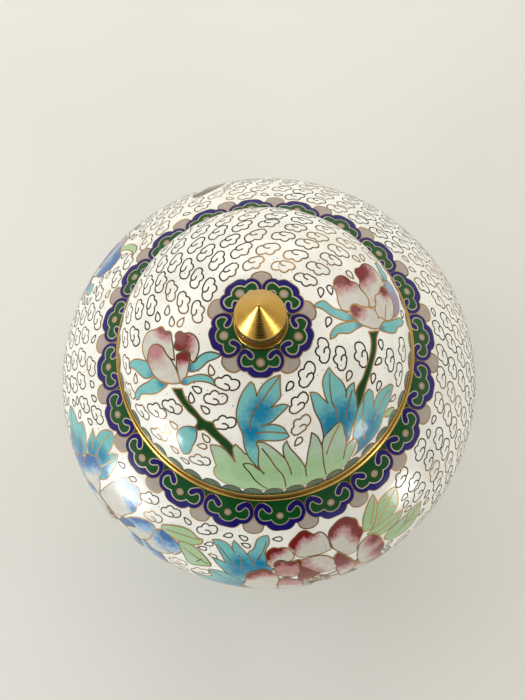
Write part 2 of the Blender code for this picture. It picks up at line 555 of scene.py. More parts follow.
class Drawing:
    """The cells and wires on one face, in mm. A cell over another lies a hair above it, and covers it."""
    first_stand = 0.04  # of the first cells above the face
    band_stand = 0.03  # of the plain rings, which lie under the cells
    layer = 0.008  # from a cell up to its wires
    grid = 1.5  # between the points inside a cell
    square = 0.5  # of the plan that tells which places are taken
    ring_segments = 360

    def __init__(self, face):
        self.face = face
        self.cells = Plates()
        self.wires = Plates()
        self.taken = {}
        self.wire_width = sizes().wire_width / MM

    def lay(self, plates, flats, faces, chart, fill, stand, shades=None):
        """Flat plates laid that many mm above the face."""
        spots = [self.face.place(*chart(flat), stand) for flat in flats]
        plates.add(spots, faces, fill, shades or [1.0] * len(flats))

    def squares(self, line, chart):
        """The squares of the plan that a closed line holds."""
        points = [self.face.plan(*chart(flat)) for flat in line]
        edges = list(zip(points, points[1:] + points[:1]))
        square = self.square
        lowest = math.floor(min(point[1] for point in points) / square)
        highest = math.ceil(max(point[1] for point in points) / square)
        found = []
        for row in range(lowest, highest + 1):
            y = row * square
            cuts = sorted((x1 - x0) * (y - y0) / (y1 - y0) + x0 for (x0, y0), (x1, y1) in edges
                          if (y0 > y) != (y1 > y))
            for enter, leave in zip(cuts[::2], cuts[1::2]):
                found += [(column, row) for column in range(math.ceil(enter / square),
                                                            math.floor(leave / square) + 1)]
        return found

    def cell(self, line, chart, fill, hearts=(), reach=3.0):
        """A cell of enamel inside a closed line, darkest near its hearts. Returns the stand for its wires."""
        twice_area = sum(a.x * b.y - b.x * a.y for a, b in zip(line, line[1:] + line[:1]))
        line = line if twice_area > 0 else line[::-1]
        grid = self.grid
        low = Vector((min(p.x for p in line), min(p.y for p in line)))
        high = Vector((max(p.x for p in line), max(p.y for p in line)))
        within = []
        for column in range(math.ceil(low.x / grid), math.floor(high.x / grid) + 1):
            for row in range(math.ceil(low.y / grid), math.floor(high.y / grid) + 1):
                spot = Vector((column * grid, row * grid))
                if inside(spot, line) and min((spot - p).length for p in line) > grid * 0.4:
                    within.append(spot)
        flats, _, faces, *_ = delaunay_2d_cdt(line + within, [], [list(range(len(line)))], 1, 1e-5)
        shades = [1.0] * len(flats)
        if hearts:
            spots = [Vector(heart[:2]) for heart in hearts]
            shades = [min(1.0, min((flat - spot).length for spot in spots) / reach) for flat in flats]
        under = self.squares(line, chart)
        stand = max([self.taken.get(square, self.first_stand) for square in under] + [self.first_stand])
        self.taken.update((square, stand + 2 * self.layer) for square in under)
        self.lay(self.cells, flats, faces, chart, fill, stand, shades)
        return stand + self.layer

    def wire(self, line, chart, fill, stand, closed=True, width=1.0):
        """A wire along a line. The width is a share of the jar's wire width."""
        points, faces = ribbon(line, self.wire_width * width, closed)
        self.lay(self.wires, points, faces, chart, fill, stand)

    def dot(self, centre, radius, ring, chart):
        """A lilac dot in a gold ring."""
        stand = self.cell(round_outline(centre, radius), chart, "lilac")
        self.wire(round_outline(centre, ring), chart, "gold", stand, width=0.8)

    def motif(self, fill, points, chart, hearts=(), reach=3.0, veins=(), edge="warm", vein_metal="warm"):
        """A cell with its wire, and wires inside it. Hearts may be a slice of its own points."""
        line = curve(points)
        if isinstance(hearts, slice):
            hearts = points[hearts]
        stand = self.cell(line, chart, fill, hearts, reach)
        self.wire(line, chart, edge, stand)
        for vein in veins:
            self.wire(curve(vein, closed=False), chart, vein_metal, stand, closed=False)

    def pen(self, chart):
        """Draws motifs on one chart."""
        def draw(fill, points, **more):
            self.motif(fill, points, chart, **more)
        return draw

    def clear(self, azimuth, way, ring):
        """True where none of the points, given as (across, down), lies on a motif or off the face."""
        for across, down in ring:
            if not 0 < way + down < self.face.ways[-1]:
                return False
            x, y = self.face.plan(azimuth + across / self.face.radius(way + down), way + down)
            if (round(x / self.square), round(y / self.square)) in self.taken:
                return False
        return True

    def clouds(self, first, last, row_pitch, pitch, length, tallness, seed):
        """Rows of cloud scrolls over all the ground, then more and drops where a gap is left."""
        jitter, search_step = 0.06, 0.8
        chance = random.Random(seed)
        shapes = [cloud_shape(length * scale, tallness, self.wire_width) for scale in (0.96, 1.0, 1.04)]
        drop = drop_shape(length * 0.42, self.wire_width)
        wide, tall = length * 0.53, length * (0.295 * tallness + 0.03)
        cloud = [(across * wide * share, down * tall * share) for share in (1.0, 0.55)
                 for across, down in compass(12)] + [(0, 0)]
        small = [(across * length * 0.33, down * length * 0.21) for across, down in compass(8)] + [(0, 0)]
        placed = {}

        def crowded(azimuth, way, across_room, down_room):
            """True where another scroll is too near."""
            row = round(way / 2)
            radius = self.face.radius(way)
            for near in range(row - 4, row + 5):
                for other, height, wide, tall in placed.get(near, ()):
                    away = (azimuth - other + math.pi) % math.tau - math.pi
                    side = abs(away * radius / (wide + across_room))
                    if side ** 3 + abs((way - height) / (tall + down_room)) ** 3 < 1:
                        return True
            return False

        def put(shape, azimuth, way, tilt, wide, tall):
            self.scroll(shape, azimuth, way, tilt)
            placed.setdefault(round(way / 2), []).append((azimuth, way, wide, tall))

        for row in range(int((last - first) / row_pitch) + 1):
            way = first + row * row_pitch
            count = round(math.tau * self.face.radius(way) / pitch)
            for place in range(count):
                slip, lift, tilt = (chance.uniform(-jitter, jitter) for _ in range(3))
                shape = chance.choice(shapes)
                azimuth = math.tau * (place + 0.5 * (row % 2) + slip) / count
                middle = way + lift * row_pitch
                if self.clear(azimuth, middle, cloud):
                    put(shape, azimuth, middle, tilt * 2.5, wide, tall)
        for ring, shape, wide, tall, lean in ((cloud, shapes[0], wide * 1.06, tall * 1.06, 0.1),
                                              (small, drop, length * 0.30, length * 0.20, 0.7)):
            for step in range(int((last - first) / search_step)):
                way = first + step * search_step
                count = round(math.tau * self.face.radius(way) / 1.1)
                for place in range(count):
                    azimuth = math.tau * place / count
                    if not crowded(azimuth, way, wide, tall) and self.clear(azimuth, way, ring):
                        put(shape, azimuth, way, chance.uniform(-lean, lean), wide, tall)

    def scroll(self, shape, azimuth, way, tilt):
        """One cloud or drop at its place."""
        points, faces = shape
        turn = math.cos(tilt), math.sin(tilt)

        def chart(flat):
            across = flat[0] * turn[0] - flat[1] * turn[1]
            down = way + flat[0] * turn[1] + flat[1] * turn[0]
            return azimuth + across / self.face.radius(down), down

        self.lay(self.wires, points, faces, chart, "dark", self.first_stand + self.layer)

    def band(self, first, last, fill, shade):
        """A plain ring of enamel between two ways."""
        segments = self.ring_segments
        rows = max(1, math.ceil((last - first) / self.grid))
        flats = [(math.tau * step / segments, first + (last - first) * row / rows)
                 for row in range(rows + 1) for step in range(segments)]
        faces = [(row * segments + step, row * segments + (step + 1) % segments,
                  (row + 1) * segments + (step + 1) % segments, (row + 1) * segments + step)
                 for row in range(rows) for step in range(segments)]
        self.lay(self.cells, flats, faces, tuple, fill, self.band_stand, [shade] * len(flats))

    def hoop(self, way, fill):
        """A wire all the way round."""
        segments, half = self.ring_segments, self.wire_width / 2
        flats = [(math.tau * step / segments, way + side)
                 for side in (-half, half) for step in range(segments)]
        faces = [(step, (step + 1) % segments, segments + (step + 1) % segments, segments + step)
                 for step in range(segments)]
        self.lay(self.wires, flats, faces, tuple, fill, self.first_stand + self.layer)


def compass(count):
    """Points round a circle of radius 1."""
    return [(math.cos(math.tau * step / count), math.sin(math.tau * step / count)) for step in range(count)]


def cloud_shape(length, tallness, width):
    """One cloud scroll: a single wire that curls in at its end, as (across, down)."""
    line = [(0.10, 0.06), (-0.05, 0.02), (-0.17, 0.06), (-0.20, 0.14), (-0.12, 0.22), (0.10, 0.27),
            (0.30, 0.31), (0.44, 0.27), (0.50, 0.15), (0.43, 0.03), (0.30, -0.03, 1), (0.27, -0.15),
            (0.18, -0.24), (0.05, -0.25), (-0.05, -0.20, 1), (-0.18, -0.27), (-0.33, -0.28), (-0.45, -0.18),
            (-0.47, -0.05), (-0.38, 0.08), (-0.20, 0.14)]
    scaled = [(-point[0] * length, point[1] * length * tallness, *point[2:]) for point in line]
    return ribbon(curve(scaled, closed=False, step=length * 0.16), width, False)


def drop_shape(length, width):
    """A small teardrop that fills a gap between clouds."""
    line = [(-0.55, 0.0, 1), (-0.1, -0.26), (0.3, -0.28), (0.5, 0.0), (0.3, 0.28), (-0.1, 0.26)]
    scaled = [(point[0] * length, point[1] * length, *point[2:]) for point in line]
    return ribbon(curve(scaled, step=length * 0.3), width, True)


# Ruyi heads and the borders that they make

RUYI_HALF = [(0.36, 1.29), (0.555, 1.08, 1), (0.79, 1.04), (0.96, 0.83), (1.0, 0.61), (0.93, 0.34),
             (0.79, 0.16), (0.61, 0.12), (0.42, 0.22), (0.29, 0.39), (0.31, 0.53), (0.42, 0.57),
             (0.555, 0.47), (0.64, 0.365), (0.76, 0.44), (0.82, 0.66), (0.745, 0.83), (0.53, 0.876),
             (0.35, 0.83, 1), (0.29, 0.93), (0.15, 1.04)]
RUYI_BACK = 8


def mirrored(half, first, last=None):
    """A closed outline from its right half, a point on the axis before it and, at will, one after it."""
    left = [(-point[0], *point[1:]) for point in reversed(half)]
    return [first] + half + ([last] if last else []) + left


def ruyi_head(drawing, chart, to_flat, spread, dot_at):
    """A cobalt head with two curls over green, with a lilac dot."""
    def moved(points):
        return [(*to_flat(point[0], point[1]), *point[2:]) for point in points]

    def across_axis(half, middle):
        """An open line from the left end of a half to its right end, through a point on the axis."""
        return [(-point[0], *point[1:]) for point in reversed(half)] + [middle] + half

    ground = mirrored(RUYI_HALF[:RUYI_BACK], (0, 1.31))
    drawing.cell(curve(moved(ground), step=1.2), chart, "green", [to_flat(0, 0.5)], spread * 1.5)
    head = curve(moved(mirrored(RUYI_HALF, (0, 1.33), (0, 1.07))), step=spread * 0.09)
    stand = drawing.cell(head, chart, "cobalt")
    outer = across_axis(RUYI_HALF[:RUYI_BACK], (0, 1.33))
    inner = across_axis(RUYI_HALF[:RUYI_BACK - 2:-1], (0, 1.07))
    for line, metal, width in ((outer, "warm", 0.6), (inner, "pale", 0.9)):
        drawing.wire(curve(moved(line), closed=False, step=spread * 0.09), chart, metal, stand, False, width)
    drawing.dot(to_flat(0, dot_at), 0.95, 1.2, chart)


def lilac_round(drawing, chart, to_flat, start, size=1.0):
    """A lilac lobe that shows between two heads."""
    half = [(1.7, 0.8), (3.1, 2.6), (3.6, 4.6), (2.9, 6.6), (1.3, 7.5)]
    outline = [(-across, down) for across, down in half] + [(across, down) for across, down in reversed(half)]
    line = curve([to_flat(across * size, start + down * size) for across, down in outline])
    drawing.wire(line, chart, "warm", drawing.cell(line, chart, "lilac"))


def rosette(drawing):
    """Five ruyi heads round the foot of the finial."""
    chart = drawing.face.pressed()
    azimuths = [math.radians(azimuth) for azimuth in (-91, -19, 54, 124, 197)]
    half_width, start = 7.0, 6.7

    def turned_to(azimuth):
        out = Vector((math.cos(azimuth), math.sin(azimuth)))
        side = Vector((out.y, -out.x))
        return lambda across, way: tuple(out * way + side * across)

    for azimuth in azimuths:
        lilac_round(drawing, chart, turned_to(azimuth + math.pi / 5), 10.1, 0.9)
    drawing.cell(round_outline((0, 0), 10.8, 48), chart, "green", [(0, 0)], 14)
    for azimuth in azimuths:
        flat = turned_to(azimuth)
        ruyi_head(drawing, chart, lambda x, y: flat(x * half_width, start + y * half_width), half_width, 0.70)


def mouth_border(drawing):
    """Twenty ruyi heads on green below the mouth ring, with lilac half-rounds between them."""
    count, first, half_width, depth = 20, -84.8, 9.05, 9.2
    for place in range(count):
        between = drawing.face.wrapped(first + 360 * (place + 0.5) / count)
        lilac_round(drawing, between, lambda x, y: (x, y), 5.8)
    drawing.band(0.05, 4.2, "green", 0.5)
    for place in range(count):
        chart = drawing.face.wrapped(first + 360 * place / count)
        ruyi_head(drawing, chart, lambda x, y: (x * half_width, y * depth), half_width, 0.68)


def scallops(drawing, count, edge, top):
    """Dark green half-ellipses that stand on an edge."""
    width = math.tau * drawing.face.radius((top + edge) / 2) / count
    half = [(0.24, 0.91), (0.42, 0.58), (0.50, 0.0, 1)]
    outline = mirrored(half, (0, 1.0))
    for place in range(count):
        chart = drawing.face.wrapped(360 * place / count)
        line = curve([(x * width, edge + y * (top - edge), *rest) for x, y, *rest in outline], step=0.9)
        stand = drawing.cell(line, chart, "stem")
        drawing.wire(line, chart, "dark", stand, width=0.7)


# The lid's flowers, drawn as (x, y) on the dome pressed flat

def lid_leaves(draw):
    """Two turquoise leaves at the right, and the pale foliage that they stand in."""
    draw("turquoise", [(14.5, -20.3, 1), (15.1, -22.8), (16.2, -26.2), (17.8, -29.1), (19.1, -33.3, 1),
                       (23, -38), (27.8, -36.2), (28.7, -33.9), (28.9, -31.6), (29.7, -28.7), (30.3, -25.5),
                       (29.9, -22.8), (28.9, -19.9), (28.5, -17.2, 1), (26.8, -18.3), (26, -21.8, 1),
                       (25.3, -18.3), (24.1, -16.6), (22, -14.9), (20.3, -12.8, 1), (19.1, -14.5),
                       (18.3, -17), (18.7, -19.9), (20.1, -23.5, 1), (18.3, -22), (16.6, -20.5)],
         hearts=[(22, -30), (26, -28), (27, -34)], reach=9,
         veins=[[(20.5, -14.5), (20.8, -20.3), (21.6, -23.7), (23, -25.8), (23.5, -29.1)],
                [(28, -19.5), (26.8, -24), (26.2, -29)]])
    draw("turquoise", [(33.7, -19.1, 1), (32.4, -21.2), (31.2, -23.7), (30.3, -25.5), (29.7, -30),
                       (29.7, -35.3, 1), (31.4, -36.2), (31.6, -42.8, 1), (33.7, -41.2), (37.8, -37.8),
                       (39.9, -35.3), (41.2, -32.8), (41.6, -28.7), (42, -26.2), (43.3, -23.3),
                       (44.1, -20.3), (44.4, -17.8, 1), (43.7, -17.4), (40.8, -18.3), (38.3, -19.9),
                       (37, -22), (36.6, -24.9, 1), (36, -22.4), (35.3, -19.9)],
         hearts=[(33, -36), (36, -32), (35, -39)], reach=9,
         veins=[[(32.4, -22.3), (32.6, -28.7), (33.3, -32), (35.1, -36.6)],
                [(43.3, -19.1), (39.9, -22.8), (38.3, -26.6), (37.6, -29.5)]])
    draw("leaf", [(41.6, -27.8, 1), (44.1, -25.8), (47.4, -25.8, 1), (44, -29)], hearts=[(47, -26)], reach=5)
    draw("leaf", [(-16.4, -36.6, 1), (-16.3, -38.5), (-15.8, -41.2), (-15.3, -44.1, 1), (-16.4, -45.8),
                  (-16.4, -48.9), (-15.1, -50.8), (-12.8, -53), (-6, -54.8), (1, -55.4), (10, -54.5),
                  (21.2, -51.4), (28.3, -48), (29.1, -47.4), (30.3, -43.7), (31.2, -40.3), (31.4, -37),
                  (31, -35.4, 1), (29.5, -36), (28.3, -37), (27.4, -39.3, 1), (27.4, -36.2), (26.2, -32.8),
                  (25.3, -30.3), (24.3, -29.4, 1), (22.8, -30.3), (21.2, -32), (19.5, -33.9), (19.1, -35.3),
                  (19.3, -38.5, 1), (18.3, -35.8), (17, -33.7), (15.3, -32.6, 1), (14.9, -36.2),
                  (14.5, -39.1), (14.3, -42.8), (14.1, -44.9, 1), (12.4, -42), (10.8, -39.9), (8.7, -37.4),
                  (7.6, -35.1, 1), (6.6, -36.6), (6.6, -38.7), (7.2, -41, 1), (4.9, -38.7), (2.4, -36.6),
                  (0.3, -35.5), (-1.8, -35.5, 1), (-3.5, -38), (-4.9, -39.5), (-6.6, -37.8),
                  (-8.2, -36.2, 1), (-9, -37), (-9.1, -39.7), (-8.7, -42.4, 1), (-10.1, -40.1),
                  (-11.6, -38.2), (-13.2, -37), (-15.1, -36.6)],
         hearts=[(x, -36) for x in range(-15, 33, 4)], reach=15,
         veins=[[(-6.2, -43), (-5.8, -44.1), (-4.3, -46.2), (-2.8, -49.3), (-0.8, -52), (1.5, -54.3)],
                [(-6.2, -43), (-3.5, -43), (-1.6, -44.7), (0.7, -46.6)],
                [(-0.1, -37.4), (2, -40.3), (4.5, -44.5), (6.6, -47.4), (7.6, -50.8), (8, -53.7)],
                [(7.2, -41), (8.6, -44), (9.6, -47.5)], [(14.1, -44.9), (14.9, -48.9)],
                [(19.3, -38.5), (20.8, -45.3), (22.4, -49.5)], [(24.3, -30.3), (22, -35.3), (20.8, -40.3)],
                [(27.4, -39.3), (27.6, -43)]], vein_metal="dark")


def lid_middle_leaf(draw):
    """The turquoise leaf in the middle, in front of the pale foliage."""
    draw("turquoise", [(-3.2, -17.2, 1), (-5.5, -20.1), (-7, -23.7), (-7.6, -27.4), (-7, -29.9),
                       (-5.9, -32.8), (-5.5, -36.6), (-4.3, -40.3), (-2.6, -42.8), (0.5, -46.8, 1),
                       (-1.1, -44.1), (-1.3, -41.2), (-1.1, -37.8), (-1.8, -35.8, 1), (-1.3, -34.9, 1),
                       (2, -34.9), (4.9, -34.9), (7.4, -34.3), (8.3, -33.5, 1), (7.6, -32.4), (6.6, -31),
                       (4.5, -30), (2, -29.9), (-0.5, -30.4, 1), (2.8, -29.2), (5.3, -27), (7.4, -24.9),
                       (8, -24.2, 1), (6.6, -23.8), (4.5, -24.2), (2.8, -24.8, 1), (4.5, -23), (5.5, -21.8),
                       (5.5, -18.7), (5.5, -15.3, 1), (3.3, -16), (1.4, -17.2), (-0.3, -19.1),
                       (-1.3, -21.4, 1), (-1.8, -19.5), (-2.4, -17.8)],
         hearts=[(-1, -27), (0.5, -25.5), (-3.5, -32)], reach=7,
         veins=[[(5.5, -15.5), (3.3, -18.3), (0.8, -21.8), (-1.8, -25.3), (-3.2, -28.3), (-3.6, -31.6)],
                [(-1.8, -32.6), (0.8, -32.2), (4.5, -32.3), (7.4, -32.6)]])


def lid_stems(draw):
    """The stems of both buds, and the small closed bud on the left one."""
    draw("stem", [(-28, -18.7, 1), (-25.1, -23.2), (-23.2, -25.5), (-20.1, -29.5), (-21.3, -31, 1),
                  (-19.9, -31.8), (-18.2, -31.6), (-15.8, -33.5), (-11.2, -38.5), (-8.5, -42.6, 1),
                  (-9.1, -39.7), (-9, -36.8, 1), (-10.5, -35.1), (-14.4, -30.8), (-14.9, -29.5),
                  (-17, -28.9), (-21.2, -24.7), (-23.2, -22.4), (-24.5, -18.9, 1)])
    draw("turquoise", [(-20.5, -31.2, 1), (-23.5, -30.7), (-25.8, -31.2), (-27.8, -33), (-28.3, -34.7),
                       (-27.8, -37), (-27.6, -38.9), (-26.8, -40.7, 1), (-25.1, -40.5), (-23.5, -38.9),
                       (-22.8, -37.4), (-21.6, -35.8), (-20.8, -33.9)], hearts=[(-21, -31)], reach=3.0)
    draw("stem", [(33.7, -1, 1), (34.3, -2.3), (34.5, -6), (32.8, -12), (31.6, -15.3), (29.5, -19.5),
                  (29.7, -22.4), (30.3, -25.5, 1), (32, -20.8), (33, -17.4), (34.1, -14.5), (34.9, -12),
                  (36.5, -6), (36.8, -2.3), (37.7, -0.2, 1)])


def lid_left_bud(draw):
    """The half-open bud at the left."""
    draw("red", [(-37.3, -9.7, 1), (-39, -7.3), (-39.2, -3), (-37.3, -0.2), (-34.3, 0.4), (-31.8, 1),
                 (-30.3, -0.6), (-28.7, -0.9), (-27.9, -3.5), (-27.3, -6.7), (-27, -10, 1), (-28.3, -9.5),
                 (-30, -7.7), (-31, -6), (-33.7, -4.5), (-36, -5.2), (-37, -7.3)],
         hearts=[(-31.5, 0.8), (-29.5, -0.6)], reach=5)
    draw("red", [(-27, -5.3), (-26.5, -3.7), (-26.8, -2.3), (-26.2, -1.4), (-25.2, -1.2), (-23.7, -2),
                 (-22.2, -1.9), (-20.7, -2.5), (-19.3, -4.3), (-18.8, -6.7), (-19.2, -8.7), (-20.5, -11, 1),
                 (-21.5, -10.3), (-21.8, -8.3), (-23, -7.3), (-25, -7.3), (-26.7, -6.5)],
         hearts=[(-26, -3), (-25.2, -4.5)], reach=7)
    draw("red", [(-26.3, -10), (-26, -8.3), (-24.8, -7.9), (-23.5, -7.5), (-22.2, -8.3), (-21.8, -10.3),
                 (-22.2, -12.7), (-23, -15), (-24.3, -16.7), (-25.7, -17.2), (-25.8, -13.7), (-26.2, -12)],
         hearts=[(-25, -8.2), (-23.2, -8)], reach=5)
    draw("rose", [(-37, -9.7), (-36.9, -7.3), (-35.7, -4.9), (-33.7, -4.5), (-31.3, -5.7), (-30, -7.7),
                  (-28.3, -9.7), (-27, -11.7), (-26.3, -13.2), (-25, -17, 1), (-27, -17.3), (-29.7, -17),
                  (-32.3, -16.2), (-34.7, -14.3), (-36.2, -12)], hearts=[(-34.5, -6.0)], reach=7)
    draw("turquoise", [(-46.7, -11.2, 1), (-46.3, -9.7), (-44.7, -8.8), (-42.3, -8.5), (-40, -9),
                       (-37, -10.3), (-36.3, -12), (-34.8, -14.2, 1), (-36.3, -15), (-39, -15),
                       (-41, -13.7), (-43.3, -12), (-45.3, -11.2)],
         hearts=[(-35.5, -14)], reach=3)
    draw("turquoise", [(-44.5, -22.3, 1), (-44.5, -20.7), (-43.3, -19), (-40.3, -17.3), (-37.3, -16.3),
                       (-34.7, -14.8, 1), (-33, -16), (-29.7, -17.5, 1), (-32.3, -19.3), (-35, -20.3),
                       (-38.7, -20.3), (-41.3, -20.5), (-43, -22.2)], hearts=[(-32, -17)], reach=3)
    draw("turquoise", [(-22.3, -13.7, 1), (-21.5, -11.3), (-20.3, -11), (-18.7, -9.3), (-16.7, -8.3),
                       (-14, -8.3), (-12, -9.3, 1), (-13.7, -10.2), (-16, -11), (-18, -12.7), (-20, -13.7)],
         hearts=[(-22, -13)], reach=3)
    draw("turquoise", [(-24.8, -17.3, 1), (-23.7, -15.7), (-21.3, -15.2), (-18.7, -14.7), (-16, -15.2),
                       (-14.5, -16.3), (-14, -18.2, 1), (-15.7, -17.3), (-18, -16.8), (-21, -17),
                       (-23, -17.7)],
         hearts=[(-24.5, -17)], reach=3)


def lid_right_bud(draw):
    """The half-open bud at the right."""
    draw("turquoise", [(40.8, 27, 1), (41.7, 24), (42.5, 19.3, 1), (45.3, 22), (45.5, 24.3), (44, 25.3),
                       (43.8, 27)],
         hearts=[(42.5, 19.5)], reach=4)
    draw("red", [(24.8, 5.2, 1), (23.8, 7.3), (23.3, 10.7), (22.5, 13.7), (23.3, 16), (25.3, 17.3),
                 (27.3, 16.8), (28.3, 15.8), (30.7, 15.3), (31.7, 13.7), (33.7, 11.7), (34.5, 9.7),
                 (34.3, 7.3, 1), (31.7, 7.3), (29.2, 7.7), (28, 6.7), (27.7, 4.8, 1)],
         hearts=[(23.5, 15.5), (25.5, 16.3)], reach=7)
    draw("mauve", [(43, 16.7, 1), (43.8, 19.8), (45.3, 20.7), (47.3, 19.7), (49, 17.3), (50, 14.3),
                   (49.7, 12.7), (49, 9.7), (47, 7), (45, 5.7, 1), (45.7, 8.3), (45.8, 11), (44.7, 14)],
         hearts=[(45, 19)], reach=5)
    draw("red", [(31.8, 15.3, 1), (31.8, 17), (30.7, 18.8), (30.7, 20.7), (32.7, 22), (34, 23.7), (36, 24.7),
                 (38.7, 24), (40.7, 22), (42, 19.3), (42.5, 17, 1), (40.7, 16.3), (39.7, 14.7), (38.7, 12.7),
                 (37.3, 11.3), (36.8, 8), (34.5, 7.7, 1), (34.5, 10.3), (33, 12.3), (31.7, 13.7)],
         hearts=[(31.6, 19.8), (33.2, 21.5)], reach=8)
    draw("red", [(37.7, 4.3, 1), (36.8, 7), (37.3, 9.3), (37.5, 12), (39.7, 13.7), (40.3, 16), (42, 16.5),
                 (43.5, 15), (45, 13), (45.7, 10.3), (45, 7), (43.7, 4.7), (40.3, 4, 1)],
         hearts=[(41.5, 15.5)], reach=5, veins=[[(41.7, 9.5), (41.2, 7), (40.7, 4.3)]])
    draw("red", [(27.8, 4.8), (27.8, 6.7), (29.2, 7.7), (31, 6.8), (34, 7.3), (36.3, 6.8), (37.7, 4.2, 1),
                 (40.3, 3.8), (38.7, 1.3), (36.3, 0.3), (33.7, 0.5), (31, 1.3), (29, 3)],
         hearts=[(28.6, 6.2)], reach=6)
    draw("turquoise", [(20.7, -4.2, 1), (21.3, -1.7), (23.3, 0.3), (26, 1.3), (29.7, 1.8), (31.7, 0.7, 1),
                       (29.7, -0.3), (27, -2), (23.3, -2.5), (22, -3.7)], hearts=[(31, 1)], reach=3)
    draw("turquoise", [(15.8, 5.7, 1), (17.3, 7.2), (19.3, 7.7), (20.3, 7), (22, 5.7), (25, 5), (27.3, 4),
                       (29, 2.3, 1), (26.3, 1.8), (23.7, 2.2), (21, 3.3), (18, 5.2)],
         hearts=[(28.5, 2.5)], reach=3)
    draw("turquoise", [(38, 0.3, 1), (39.7, 3), (42.7, 4), (45.7, 5.3), (48.3, 6.3), (51, 5.7, 1),
                       (49.3, 3.7), (47, 2.7), (45, 0.3), (42, -0.2)],
         hearts=[(38.5, 0.5)], reach=3)


# Leaves and petals that are drawn from a place, a direction and a size

def swung(points, base, angle, size, spread):
    """Points given as (along, across) shares, set out from a base in a direction in degrees."""
    out = Vector((math.cos(math.radians(angle)), math.sin(math.radians(angle))))
    side = Vector((-out.y, out.x))
    return [(*(Vector(base) + out * point[0] * size + side * point[1] * spread),
             *point[2:]) for point in points]


def leaf(draw, fill, base, angle, size, spread, reach=8.0):
    """A toothed leaf with its midrib, dark at its base."""
    half = [(0.12, 0.20), (0.26, 0.42), (0.36, 0.36, 1), (0.50, 0.50), (0.63, 0.36, 1), (0.76, 0.36),
            (0.90, 0.14)]
    other = [(along, -across, *rest) for along, across, *rest in reversed(half)]
    points = swung([(0, 0, 1)] + half + [(1, 0.02, 1)] + other, base, angle, size, spread)
    ribs = [swung([(0.05, 0), (0.5, 0.03), (0.88, 0.01)], base, angle, size, spread)]
    ribs += [swung([(0.34, 0.01), (0.48, side)], base, angle, size, spread) for side in (0.24, -0.24)]
    draw(fill, points,
         hearts=swung([(0.08, 0), (0.28, 0)], base, angle, size, spread), reach=reach,
         veins=ribs)


def petal(draw, fill, base, angle, size, spread, reach=8.0):
    """A broad petal with a scalloped end, dark along that end."""
    points = swung([(0.0, 0.10), (0.35, 0.40), (0.66, 0.52), (0.86, 0.40), (0.90, 0.22, 1), (1.0, 0.10),
                    (0.97, -0.08, 1), (0.98, -0.26), (0.84, -0.42), (0.62, -0.52), (0.33, -0.38),
                    (0.0, -0.10)], base, angle, size, spread)
    draw(fill, points, hearts=slice(2, 10), reach=reach)


def stalk(draw, line, width, fill="stem"):
    """A stem along a line, thinner at its end."""
    middle = curve(line, closed=False, step=3.0)
    points, _ = ribbon(middle, width, False)
    left, right = points[0::2], points[1::2]
    count = len(middle)
    thin = [1 - 0.5 * index / count for index in range(count)]
    left = [centre.lerp(point, share) for centre, point, share in zip(middle, left, thin)]
    right = [centre.lerp(point, share) for centre, point, share in zip(middle, right, thin)]
    ends = [(*left[0], 1)] + [tuple(point) for point in left[1:-1]] + [(*left[-1], 1), (*right[-1], 1)]
    draw(fill, ends + [tuple(point) for point in reversed(right[1:-1])] + [(*right[0], 1)])


# The vessel's flowers, drawn as (mm across, mm down) from an azimuth

